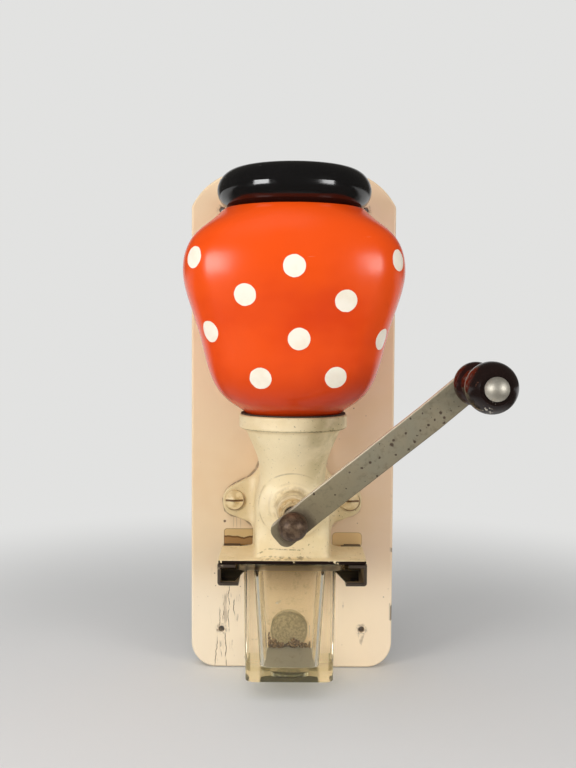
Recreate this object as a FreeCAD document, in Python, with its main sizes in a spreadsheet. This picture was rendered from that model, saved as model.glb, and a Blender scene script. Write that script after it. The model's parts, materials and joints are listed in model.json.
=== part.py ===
import FreeCAD, Part
import math
import os
import Sketcher

# Wall coffee mill: board, ceramic hopper, cast body, burrs on a cranked shaft, glass drawer.
# Millimetres. X to the right, Y towards the wall, Z up; the wall is the plane Y = 0.
# A "depth" is a distance from the wall, so it lies at Y = -depth.

doc = FreeCAD.newDocument("WallCoffeeMill")
sheet = doc.addObject("Spreadsheet::Sheet", "Sizes")

drivingSizes = {
    "backboard": {
        "boardWidth": 143.0,
        "boardHeight": 352.0,
        "boardThickness": 16.0,
        "boardFootRadius": 18.0,
        "boardShoulderRadius": 46.0,
        "boardShoulderDrop": 25.1,
        "boardCrownInset": 23.3,
        "boardCrownDrop": 3.2,
        "boardKinkRadius": 6.0,
        "boardEdgeRadius": 1.5,
        "wallScrewSpacingX": 100.0,
        "wallScrewSpacingZ": 297.0,
        "wallScrewHole": 4.5,
    },
    "main places": {
        "shaftHeight": -47.9,
        "hopperDepth": 76.7,
        "collarTop": 11.3,
        "shelfTop": -82.9,
    },
    "fits": {
        "fitClearance": 0.05,
        "looseClearance": 0.25,
        "screwClearance": 0.2,
    },
    "cast body": {
        "chamberRadius": 24.0,
        "chamberDraft": 2.6,
        "chamberFront": 75.0,
        "chamberFillet": 3.0,
        "noseRimRadius": 22.6,
        "noseRimDepth": 76.6,
        "noseFaceRadius": 20.4,
        "noseFaceDepth": 79.2,
        "noseFootRadius": 15.5,
        "noseFootDepth": 81.4,
        "noseFillet": 8.0,
        "bossRadius": 10.2,
        "bossDepth": 101.0,
        "collarRadius": 34.4,
        "collarHeight": 8.5,
        "collarStep": 2.2,
        "throatRadius": 24.0,
        "throatUpperDrop": 14.0,
        "throatUpperLean": 1.0,
        "throatUpperInset": 3.0,
        "throatMiddleDrop": 28.0,
        "throatMiddleLean": 6.0,
        "throatMiddleInset": 8.0,
        "throatFootSink": 4.0,
        "throatFootLean": 11.5,
        "throatFootInset": 3.5,
        "neckInset": 4.2,
        "neckShoulderLean": 1.0,
        "neckShoulderDrop": 9.5,
        "neckShoulderRadius": 27.0,
        "neckWaistDrop": 17.5,
        "neckWaistRadius": 23.8,
        "neckWaistLean": 3.6,
        "neckHipDrop": 24.5,
        "neckHipRadius": 22.2,
        "neckHipLean": 7.4,
        "neckFootRise": 5.0,
        "neckFootRadius": 21.0,
        "neckFootLean": 14.5,
        "flangeThickness": 6.0,
        "flangeTop": -14.0,
        "flangeHalfWidth": 23.0,
        "earHalfWidth": 48.8,
        "earRadius": 9.2,
        "earRise": 1.0,
        "earSink": 2.0,
        "earUpperSlope": 28.0,
        "earLowerSlope": 23.0,
        "earUpperSweep": 14.0,
        "earLowerSweep": 6.0,
        "earScrewSpacing": 81.2,
        "earScrewDrop": 6.7,
        "webHalfWidth": 27.8,
        "shelfHalfWidth": 48.0,
        "shelfThickness": 3.0,
        "shelfFront": 82.0,
        "shelfNotchDepth": 40.0,
        "shelfNotchRadius": 8.0,
        "shelfCornerRadius": 1.2,
    },
    "bores of the cast body": {
        "bridgeRecessRadius": 22.0,
        "bridgeSeatDepth": 24.0,
        "ringBoreRadius": 17.5,
        "ringSeatDepth": 54.0,
        "feedBoreRadius": 13.5,
        "feedBoreFront": 76.0,
        "noseBoreRadius": 7.0,
        "chuteHalfWidth": 19.0,
        "chuteUpperHalfWidth": 13.0,
        "chuteBack": 28.0,
        "chuteFront": 69.0,
        "chuteUpperFront": 37.5,
        "chuteUpperHeight": -67.7,
    },
    "hopper": {
        "gasketThickness": 0.8,
        "gasketRadius": 33.4,
        "hopperHeight": 127.4,
        "hopperWall": 5.0,
        "hopperFloor": 5.5,
        "hopperFloorRadius": 33.5,
        "hopperMouthRadius": 40.0,
        "clampRadius": 32.0,
        "clampHoleRadius": 24.5,
        "clampThickness": 2.5,
        "clampPadThickness": 1.0,
        "clampScrewCircle": 28.4,
        "clampScrewRadius": 2.0,
        "clampScrewLength": 15.5,
        "clampScrewHead": 3.5,
        "clampScrewHeadHeight": 2.4,
    },
    "lid": {
        "lidRadius": 48.75,
        "lidThickness": 27.5,
        "lidCrown": 2.2,
        "lidEdgeRadius": 13.0,
        "lidPlugClearance": 0.5,
        "lidPlugDepth": 8.0,
        "lidPlugWall": 5.0,
        "lidHollow": 14.0,
    },
    "burrs and feed": {
        "ringLength": 16.0,
        "coneRearRadius": 14.6,
        "coneFrontRadius": 9.4,
        "burrGap": 1.0,
        "toothDepth": 1.1,
        "toothCount": 14,
        "ringExtraTeeth": 2,
        "toothTwist": 38.0,
        "wormLength": 15.0,
        "wormRadius": 12.4,
        "wormHubRadius": 7.2,
        "wormPitch": 7.5,
        "wormFlight": 2.4,
        "wormCollarRadius": 9.4,
        "wormCollarLength": 1.5,
        "springMeanRadius": 8.0,
        "springWire": 1.3,
        "springTurns": 2.5,
        "pinRadius": 1.5,
        "pinLength": 13.5,
    },
    "shaft and crank": {
        "shaftRearEnd": 18.6,
        "shaftRearRadius": 4.5,
        "shaftBurrRadius": 5.5,
        "shaftRadius": 5.0,
        "shaftFlat": 4.2,
        "shaftFlatLength": 14.0,
        "squareWidth": 7.0,
        "studRadius": 3.4,
        "studLength": 6.5,
        "bridgeHalfWidth": 7.5,
        "bridgeThickness": 5.0,
        "bridgeBossRadius": 9.8,
        "bridgeBossLength": 3.0,
        "bridgeScrewCircle": 19.9,
        "bridgeScrewRadius": 1.25,
        "bridgeScrewLength": 9.0,
        "bridgeScrewHead": 1.9,
        "bridgeScrewHeadHeight": 1.8,
        "rearBushWall": 2.0,
        "bushFlangeRadius": 8.4,
        "bushFlange": 1.6,
        "washerRadius": 8.0,
        "washerThickness": 1.5,
        "nutRadius": 7.8,
        "nutLength": 6.0,
        "nutNotches": 10,
        "nutNotchDepth": 0.9,
        "nutNotchRise": 0.3,
        "crankSeat": 140.5,
        "crankAngle": 40.3,
        "crankReach": 129.2,
        "crankWidth": 16.4,
        "crankThickness": 4.0,
        "crankTail": 12.7,
        "crankTailRadius": 5.6,
        "crankHubFlat": 14.0,
        "crankRise": 15.0,
        "crankBend": 30.0,
        "crankHeadLength": 10.5,
        "crankEndRadius": 8.0,
        "capNutRadius": 8.4,
        "capNutSkirt": 2.6,
        "capNutHeight": 9.4,
    },
    "knob": {
        "spindleRadius": 3.0,
        "rivetHeadRadius": 5.0,
        "rivetHeadHeight": 1.6,
        "knobWasherRadius": 7.0,
        "knobWasherThickness": 1.0,
        "knobLength": 59.5,
        "knobBaseRadius": 10.6,
        "knobWaistRadius": 9.2,
        "knobBellyRadius": 12.9,
        "knobFaceRadius": 8.2,
        "endCapRadius": 6.1,
        "endCapHeight": 5.4,
    },
    "ear screws": {
        "earScrewHead": 7.2,
        "earScrewHeadHeight": 4.4,
        "earScrewRadius": 2.5,
        "earScrewLength": 18.0,
        "slotWidth": 1.5,
        "slotDepth": 1.8,
    },
    "glass drawer and its rails": {
        "railSheet": 1.8,
        "railHeight": 13.5,
        "railLipEdge": 34.5,
        "railFlangeEdge": 36.5,
        "railBack": 20.0,
        "railBendRadius": 2.0,
        "rivetSpacing": 79.0,
        "rivetBack": 46.0,
        "rivetFront": 73.0,
        "rivetRadius": 1.6,
        "rivetHead": 2.7,
        "rivetHeadThickness": 1.0,
        "jarGap": 0.5,
        "jarWidth": 60.0,
        "jarShift": -1.5,
        "jarDepth": 58.0,
        "jarBack": 22.2,
        "jarHeight": 77.1,
        "jarTaper": 2.6,
        "jarCorner": 6.0,
        "jarFloor": 7.3,
        "jarMouth": 47.6,
        "jarFloorWidth": 39.0,
        "jarInnerCorner": 8.0,
        "jarRimHalfWidth": 33.8,
        "jarRimHeight": 3.3,
        "jarRimProud": 1.0,
        "jarWingDrop": 3.4,
        "jarPuntRadius": 13.0,
        "jarPuntDepth": 1.2,
    },
}

# The hopper's plan at each level: share of its height, half width, half depth,
# corner radius and the radius of its bowed faces, from its foot to its mouth.
hopperPlan = {
    "foot": (0.000, 30.5, 30.5, 26.0, 36.0),
    "sole": (0.026, 34.9, 34.6, 27.0, 46.0),
    "heel": (0.080, 44.1, 42.2, 28.0, 72.0),
    "flank": (0.167, 51.4, 47.2, 28.0, 105.0),
    "waist": (0.387, 59.3, 52.4, 28.0, 132.0),
    "chest": (0.545, 65.8, 56.2, 28.0, 140.0),
    "belly": (0.686, 69.8, 58.8, 28.0, 140.0),
    "shoulder": (0.797, 68.0, 58.0, 28.0, 138.0),
    "slope": (0.880, 62.0, 56.0, 30.0, 105.0),
    "rise": (0.940, 53.4, 52.4, 34.0, 72.0),
    "lip": (0.977, 48.2, 48.4, 40.0, 56.0),
    "mouth": (1.000, 45.2, 45.2, 41.0, 49.0),
}
planFields = ("Level", "Width", "Depth", "Corner", "Bow")

row = 0
for group, sizes in drivingSizes.items():
    row += 1
    sheet.set("A%d" % row, group)
    for alias, number in sizes.items():
        row += 1
        sheet.set("A%d" % row, alias)
        sheet.set("B%d" % row, str(number))
        sheet.setAlias("B%d" % row, alias)
for level, numbers in hopperPlan.items():
    for field, number in zip(planFields, numbers):
        row += 1
        sheet.set("A%d" % row, level + field)
        sheet.set("B%d" % row, str(number))
        sheet.setAlias("B%d" % row, level + field)
doc.recompute()

finished = []


# An expression may name a size of the sheet by its alias alone.
def bound(expression):
    words = []
    word = ""
    for letter in str(expression) + " ":
        if letter.isalnum():
            word += letter
            continue
        if word in aliases:
            word = "Sizes." + word
        words.append(word + letter)
        word = ""
    return "".join(words).strip()


def measure(expression):
    return float(sheet.evalExpression(bound(expression)))


aliases = set()
for sizes in drivingSizes.values():
    aliases.update(sizes)
for level in hopperPlan:
    aliases.update(level + field for field in planFields)


def newBody(label, x="0", y="0", z="0"):
    body = doc.addObject("PartDesign::Body", label)
    body.Label = label
    for axis, place in (("x", x), ("y", y), ("z", z)):
        body.setExpression("Placement.Base." + axis, bound(place))
    finished.append(body)
    return body


def originPart(body, role):
    for part in body.Origin.OriginFeatures:
        if part.Role == role:
            return part
    raise ValueError(role)


def newSketch(body, name, role, lift=None, shift=None):
    sketch = body.newObject("Sketcher::SketchObject", body.Label + "_" + name)
    sketch.AttachmentSupport = [(originPart(body, role), "")]
    sketch.MapMode = "FlatFace"
    if shift:
        sketch.setExpression("AttachmentOffset.Base.x", bound(shift))
    if lift:
        sketch.setExpression("AttachmentOffset.Base.z", bound(lift))
    return sketch


# Turns a body about the shaft line to the crank's angle at rest.
def leanWithCrank(body):
    body.Placement.Rotation = FreeCAD.Rotation(FreeCAD.Vector(0, -1, 0), 1)
    body.setExpression("Placement.Rotation.Axis.y", "-1")
    body.setExpression("Placement.Rotation.Axis.z", "0")
    body.setExpression("Placement.Rotation.Angle", bound("crankAngle") + " * 1 deg")


# Pins one coordinate of a sketch point to an expression of the sheet.
def pin(sketch, kind, geometry, point, expression):
    number = measure(expression)
    if str(expression) == "0":
        line = -2 if kind == "DistanceX" else -1
        sketch.addConstraint(Sketcher.Constraint("PointOnObject", geometry, point, line))
        return
    index = sketch.addConstraint(Sketcher.Constraint(kind, -1, 1, geometry, point, number))
    sketch.setExpression("Constraints[%d]" % index, bound(expression))


# Draws a closed outline. Each corner is (x, y); arcs gives, for the side that starts at
# a corner, its radius, with a minus sign where the side turns clockwise, or "half" for
# half a circle between two corners of one height.
def outline(sketch, corners, arcs=None):
    arcs = arcs or {}
    first = sketch.GeometryCount
    places = [FreeCAD.Vector(measure(x), measure(y), 0) for x, y in corners]
    starts = []
    ends = []
    for number, start in enumerate(places):
        end = places[(number + 1) % len(places)]
        if number not in arcs:
            sketch.addGeometry(Part.LineSegment(start, end), False)
            starts.append(1)
            ends.append(2)
            continue
        chord = end - start
        half = chord.Length / 2
        radius = half if arcs[number] == "half" else measure(arcs[number])
        turn = 1 if radius > 0 else -1
        reach = math.sqrt(max(radius * radius - half * half, 0.0))
        side = FreeCAD.Vector(-chord.y, chord.x, 0).normalize() * turn
        centre = (start + end) * 0.5 + side * reach
        circle = Part.Circle(centre, FreeCAD.Vector(0, 0, 1), abs(radius))
        angles = [math.atan2(p.y - centre.y, p.x - centre.x) for p in (start, end)]
        if turn < 0:
            angles.reverse()
        if angles[1] < angles[0]:
            angles[1] += 2 * math.pi
        sketch.addGeometry(Part.ArcOfCircle(circle, angles[0], angles[1]), False)
        starts.append(1 if turn > 0 else 2)
        ends.append(2 if turn > 0 else 1)
    for number in range(len(places)):
        following = (number + 1) % len(places)
        sketch.addConstraint(Sketcher.Constraint(
            "Coincident", first + number, ends[number], first + following, starts[following]))
    for number, (x, y) in enumerate(corners):
        pin(sketch, "DistanceX", first + number, starts[number], x)
        pin(sketch, "DistanceY", first + number, starts[number], y)
    for number, expression in arcs.items():
        if expression == "half":
            pin(sketch, "DistanceY", first + number, 3, corners[number][1])
            continue
        size = bound(expression).lstrip("-")
        index = sketch.addConstraint(Sketcher.Constraint(
            "Radius", first + number, abs(measure(expression))))
        sketch.setExpression("Constraints[%d]" % index, size)


def circleIn(sketch, x, y, radius):
    number = sketch.GeometryCount
    centre = FreeCAD.Vector(measure(x), measure(y), 0)
    sketch.addGeometry(Part.Circle(centre, FreeCAD.Vector(0, 0, 1), measure(radius)), False)
    pin(sketch, "DistanceX", number, 3, x)
    pin(sketch, "DistanceY", number, 3, y)
    index = sketch.addConstraint(Sketcher.Constraint("Radius", number, measure(radius)))
    sketch.setExpression("Constraints[%d]" % index, bound(radius))


def rectangleIn(sketch, left, bottom, right, top):
    outline(sketch, [(left, bottom), (right, bottom), (right, top), (left, top)])


# A feature that adds to a body or, as a Pocket, cuts to one side of its sketch.
def extrude(body, sketch, kind, length, reverse=False, midplane=False):
    feature = body.newObject("PartDesign::" + kind, sketch.Name + "_" + kind)
    feature.Profile = sketch
    feature.setExpression("Length", bound(length))
    feature.Reversed = reverse
    if midplane:
        feature.Midplane = True
    return feature


def revolve(body, sketch, kind="Revolution", axis="V_Axis"):
    feature = body.newObject("PartDesign::" + kind, sketch.Name + "_" + kind)
    feature.Profile = sketch
    feature.ReferenceAxis = (sketch, [axis])
    feature.Angle = 360.0
    return feature


# Turned pieces on the shaft line: corners are (radius, depth from the wall).
def turned(body, name, corners, arcs=None, kind="Revolution", shift=None):
    sketch = newSketch(body, name, "XY_Plane", shift=shift)
    outline(sketch, [(radius, "-(%s)" % depth) for radius, depth in corners], arcs)
    return revolve(body, sketch, kind)


# Round pieces on an upright axis: corners are (radius, height).
def upright(body, name, corners, arcs=None, kind="Revolution", shift=None):
    sketch = newSketch(body, name, "XZ_Plane", shift=shift)
    outline(sketch, corners, arcs)
    return revolve(body, sketch, kind)


def polar(body, feature, axis, count):
    pattern = body.newObject("PartDesign::PolarPattern", feature.Name + "_ring")
    pattern.Originals = [feature]
    pattern.Axis = (originPart(body, axis), [""])
    pattern.Angle = 360.0
    pattern.setExpression("Occurrences", bound(count))
    body.Tip = pattern
    return pattern


def mirrored(body, features, role):
    mirror = body.newObject("PartDesign::Mirrored", features[0].Name + "_mirror")
    mirror.Originals = features
    mirror.MirrorPlane = (originPart(body, role), [""])
    body.Tip = mirror
    return mirror


# Rounds the edges of a body's last feature whose middle point a test accepts.
def roundEdges(body, name, radius, accepts):
    doc.recompute()
    base = body.Tip
    names = []
    for number, edge in enumerate(base.Shape.Edges, start=1):
        middle = edge.valueAt((edge.FirstParameter + edge.LastParameter) / 2)
        if accepts(edge, middle):
            names.append("Edge%d" % number)
    fillet = body.newObject("PartDesign::Fillet", body.Label + "_" + name)
    fillet.Base = (base, names)
    fillet.setExpression("Radius", bound(radius))
    return fillet


def near(value, target):
    return abs(value - target) < 0.02


# A plain ring about the shaft, from one depth to another.
def shaftRing(body, name, inner, outer, back, front):
    corners = [(inner, back), (outer, back), (outer, front), (inner, front)]
    return turned(body, name, corners)


# A plain ring about the hopper's axis, from one height to another.
def hopperRing(body, name, inner, outer, bottom, top):
    corners = [(inner, bottom), (outer, bottom), (outer, top), (inner, top)]
    return upright(body, name, corners)


# Heights and depths that several pieces share.
hopperFoot = "collarTop + gasketThickness"
hopperTop = "collarTop + gasketThickness + hopperHeight"
clampPadTop = "collarTop + gasketThickness + hopperFloor + clampPadThickness"
clampTop = clampPadTop + " + clampThickness"
shelfUnder = "shelfTop - shelfThickness"
jarTop = "shelfTop - shelfThickness - jarGap"
bushFront = "bossDepth + bushFlange"
washerFront = "bossDepth + bushFlange + 2 * fitClearance + washerThickness"
crankFront = "crankSeat + crankThickness"
armEndFront = "crankSeat + crankThickness + crankRise"
earScrewHeight = "shaftHeight - earScrewDrop"
coneRear = "ringSeatDepth - ringLength"
wormBack = "ringSeatDepth + 1"
wormFront = "ringSeatDepth + 1 + wormLength"


def makeBackboard():
    body = newBody("backboard")
    sketch = newSketch(body, "outline", "XZ_Plane")
    side = "boardWidth / 2"
    top = "boardHeight / 2"
    foot = "boardFootRadius"
    crown = "((%s - boardCrownInset)^2 + boardCrownDrop^2) / (2 * boardCrownDrop)" % side
    outline(sketch, [
        ("-%s + %s" % (side, foot), "-" + top),
        ("%s - %s" % (side, foot), "-" + top),
        (side, "-%s + %s" % (top, foot)),
        (side, "%s - boardShoulderDrop" % top),
        ("%s - boardCrownInset" % side, "%s - boardCrownDrop" % top),
        ("-%s + boardCrownInset" % side, "%s - boardCrownDrop" % top),
        ("-" + side, "%s - boardShoulderDrop" % top),
        ("-" + side, "-%s + %s" % (top, foot)),
    ], {1: foot, 3: "boardShoulderRadius", 4: crown, 5: "boardShoulderRadius", 7: foot})
    extrude(body, sketch, "Pad", "boardThickness")
    upper = measure("boardHeight / 2 - boardShoulderDrop") - 1
    roundEdges(body, "kinks", "boardKinkRadius",
               lambda edge, middle: edge.Curve.TypeId == "Part::GeomLine" and middle.z > upper
               and near(abs(edge.tangentAt(edge.FirstParameter).y), 1))
    front = -measure("boardThickness")
    roundEdges(body, "frontEdge", "boardEdgeRadius", lambda edge, middle: near(middle.y, front))
    holes = newSketch(body, "wallScrewHoles", "XZ_Plane")
    for x in ("wallScrewSpacingX / 2", "-wallScrewSpacingX / 2"):
        for z in ("wallScrewSpacingZ / 2", "-wallScrewSpacingZ / 2"):
            circleIn(holes, x, z, "wallScrewHole / 2")
    extrude(body, holes, "Pocket", "boardThickness + 1", reverse=True)
    pilots = newSketch(body, "earScrewPilots", "XZ_Plane", lift="boardThickness")
    for x in ("earScrewSpacing / 2", "-earScrewSpacing / 2"):
        circleIn(pilots, x, earScrewHeight, "earScrewRadius + fitClearance")
    extrude(body, pilots, "Pocket", "earScrewLength - flangeThickness + 1")


# One plan section of the hopper: four bowed faces joined by tangent corner arcs.
def hopperSection(body, name, height, level, inset="0"):
    sketch = newSketch(body, name, "XY_Plane", lift=height)
    width = "%sWidth - (%s)" % (level, inset)
    depth = "%sDepth - (%s)" % (level, inset)
    corner = "%sCorner - (%s)" % (level, inset)
    bow = "%sBow - (%s)" % (level, inset)
    halfWidth = measure(width)
    halfDepth = measure(depth)
    small = measure(corner)
    large = measure(bow)
    # The corner's centre lies one difference of radii from both bow centres.
    reach = large - small
    dx = halfWidth - large
    dy = halfDepth - large
    apart = math.hypot(dx, dy)
    across = math.sqrt(reach * reach - apart * apart / 4)
    cornerX = dx / 2 - across * dy / apart
    cornerY = dy / 2 - across * dx / apart
    bows = ((halfWidth - large, 0), (0, halfDepth - large),
            (large - halfWidth, 0), (0, large - halfDepth))
    signs = ((1, 1), (-1, 1), (-1, -1), (1, -1))
    up = FreeCAD.Vector(0, 0, 1)
    for number in range(4):
        bowCentre = FreeCAD.Vector(bows[number][0], bows[number][1], 0)
        after = FreeCAD.Vector(signs[number][0] * cornerX, signs[number][1] * cornerY, 0)
        before = FreeCAD.Vector(signs[number - 1][0] * cornerX, signs[number - 1][1] * cornerY, 0)
        following = FreeCAD.Vector(*bows[(number + 1) % 4], 0)
        swing = [math.atan2((c - bowCentre).y, (c - bowCentre).x) for c in (before, after)]
        if swing[1] < swing[0]:
            swing[1] += 2 * math.pi
        sketch.addGeometry(Part.ArcOfCircle(Part.Circle(bowCentre, up, large), *swing), False)
        turn = [math.atan2((after - c).y, (after - c).x) for c in (bowCentre, following)]
        if turn[1] < turn[0]:
            turn[1] += 2 * math.pi
        sketch.addGeometry(Part.ArcOfCircle(Part.Circle(after, up, small), *turn), False)
    for number in range(8):
        sketch.addConstraint(Sketcher.Constraint("Tangent", number, 2, (number + 1) % 8, 1))
    places = ((width + " - (%s)" % bow, "0"), ("0", depth + " - (%s)" % bow),
              ("(%s) - (%s)" % (bow, width), "0"), ("0", "(%s) - (%s)" % (bow, depth)))
    for number, (x, y) in enumerate(places):
        pin(sketch, "DistanceX", 2 * number, 3, x)
        pin(sketch, "DistanceY", 2 * number, 3, y)
        for geometry, size in ((2 * number, bow), (2 * number + 1, corner)):
            index = sketch.addConstraint(Sketcher.Constraint("Radius", geometry, measure(size)))
            sketch.setExpression("Constraints[%d]" % index, bound(size))
    return sketch


def loft(body, kind, sections, ruled=False):
    feature = body.newObject("PartDesign::" + kind, sections[0].Name + "_" + kind)
    feature.Profile = sections[0]
    feature.Sections = sections[1:]
    feature.Ruled = ruled
    return feature


def makeHopper():
    body = newBody("hopper", y="-hopperDepth")
    height = hopperFoot + " + %sLevel * hopperHeight"
    outside = [hopperSection(body, level, height % level, level) for level in hopperPlan]
    loft(body, "AdditiveLoft", outside)
    # The cavity follows the outside one wall further in, over a flat floor.
    inside = [
        ("heel", "hopperFloor"), ("flank", "hopperWall / 3"), ("waist", "0"), ("chest", "0"),
        ("belly", "0"), ("shoulder", "0"), ("slope", "-hopperWall / 3"),
        ("rise", "-hopperWall / 2"), ("lip", "-hopperWall / 2"),
    ]
    cavity = []
    for level, rise in inside:
        place = (height % level) + " + (%s)" % rise
        cavity.append(hopperSection(body, level + "Inside", place, level, "hopperWall"))
    loft(body, "SubtractiveLoft", cavity)
    well = newSketch(body, "well", "XY_Plane", lift=hopperFoot + " + hopperFloor")
    circleIn(well, "0", "0", "hopperFloorRadius")
    extrude(body, well, "Pocket", "heelLevel * hopperHeight + 1", reverse=True)
    mouth = newSketch(body, "mouthBore", "XY_Plane", lift=hopperTop + " + 1")
    circleIn(mouth, "0", "0", "hopperMouthRadius")
    extrude(body, mouth, "Pocket", "hopperWall + 2")
    outlet = newSketch(body, "outlet", "XY_Plane", lift=hopperFoot + " - 1")
    circleIn(outlet, "0", "0", "throatRadius")
    extrude(body, outlet, "Pocket", "hopperFloor + 2", reverse=True)
    screwHoles(body, "XY_Plane", hopperFoot + " - 1", "hopperFloor + 2")


# The ring of holes for the screws that clamp the hopper down.
def screwHoles(body, role, lift, length, radius="clampScrewRadius + screwClearance"):
    sketch = newSketch(body, "screwHole", role, lift=lift)
    circleIn(sketch, "clampScrewCircle", "0", radius)
    hole = extrude(body, sketch, "Pocket", length, reverse=True)
    return polar(body, hole, "Z_Axis", "3")


def makeHopperSeat():
    gasket = newBody("hopper_gasket", y="-hopperDepth")
    hopperRing(gasket, "ring", "throatRadius", "gasketRadius", "collarTop", hopperFoot)
    screwHoles(gasket, "XY_Plane", "collarTop - 1", "gasketThickness + 2")
    padBottom = hopperFoot + " + hopperFloor"
    pad = newBody("clamp_pad", y="-hopperDepth")
    hopperRing(pad, "ring", "clampHoleRadius", "clampRadius", padBottom, clampPadTop)
    screwHoles(pad, "XY_Plane", padBottom + " - 1", "clampPadThickness + 2")
    ring = newBody("clamp_ring", y="-hopperDepth")
    hopperRing(ring, "ring", "clampHoleRadius", "clampRadius", clampPadTop, clampTop)
    screwHoles(ring, "XY_Plane", clampPadTop + " - 1", "clampThickness + 2")
    screws = newBody("clamp_screws", y="-hopperDepth")
    tip = clampTop + " - clampScrewLength"
    head = clampTop + " + clampScrewHeadHeight"
    screw = upright(screws, "screw", [
        ("0", tip), ("clampScrewRadius", tip), ("clampScrewRadius", clampTop),
        ("clampScrewHead", clampTop), ("clampScrewHead", head), ("0", head),
    ], shift="clampScrewCircle")
    slot = newSketch(screws, "slot", "XY_Plane", lift=head)
    rectangleIn(slot, "clampScrewCircle - clampScrewHead - 1", "-slotWidth / 2",
                "clampScrewCircle + clampScrewHead + 1", "slotWidth / 2")
    cut = extrude(screws, slot, "Pocket", "clampScrewHeadHeight / 2")
    pattern = screws.newObject("PartDesign::PolarPattern", "clampScrewRing")
    pattern.Originals = [screw, cut]
    pattern.Axis = (originPart(screws, "Z_Axis"), [""])
    pattern.Angle = 360.0
    pattern.Occurrences = 3
    screws.Tip = pattern


def makeLid():
    body = newBody("lid", y="-hopperDepth")
    under = hopperTop + " + looseClearance"
    rise = "lidThickness - lidCrown"
    plug = "hopperMouthRadius - lidPlugClearance"
    flat = "lidRadius - lidEdgeRadius"
    crown = "((%s)^2 + lidCrown^2) / (2 * lidCrown)" % flat
    bottomFlat = "lidRadius - (lidThickness - lidCrown) / 2"
    upright(body, "shape", [
        ("0", under + " + lidHollow"),
        (plug + " - lidPlugWall", under + " + lidHollow"),
        (plug + " - lidPlugWall", under + " - lidPlugDepth"),
        (plug, under + " - lidPlugDepth"),
        (plug, under),
        ("lidRadius - (%s) / 2 + 4" % rise, under),
        ("lidRadius", under + " + (%s) / 2" % rise),
        (flat, under + " + " + rise),
        ("0", under + " + lidThickness"),
    ], {5: "(%s) / 2 + 0.5" % rise, 6: "(%s) / 2 + 1" % rise, 7: crown})


def neckSection(body, name, height, depth, radius):
    sketch = newSketch(body, name, "XY_Plane", lift=height)
    circleIn(sketch, "0", "-(%s)" % depth, radius)
    return sketch


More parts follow.
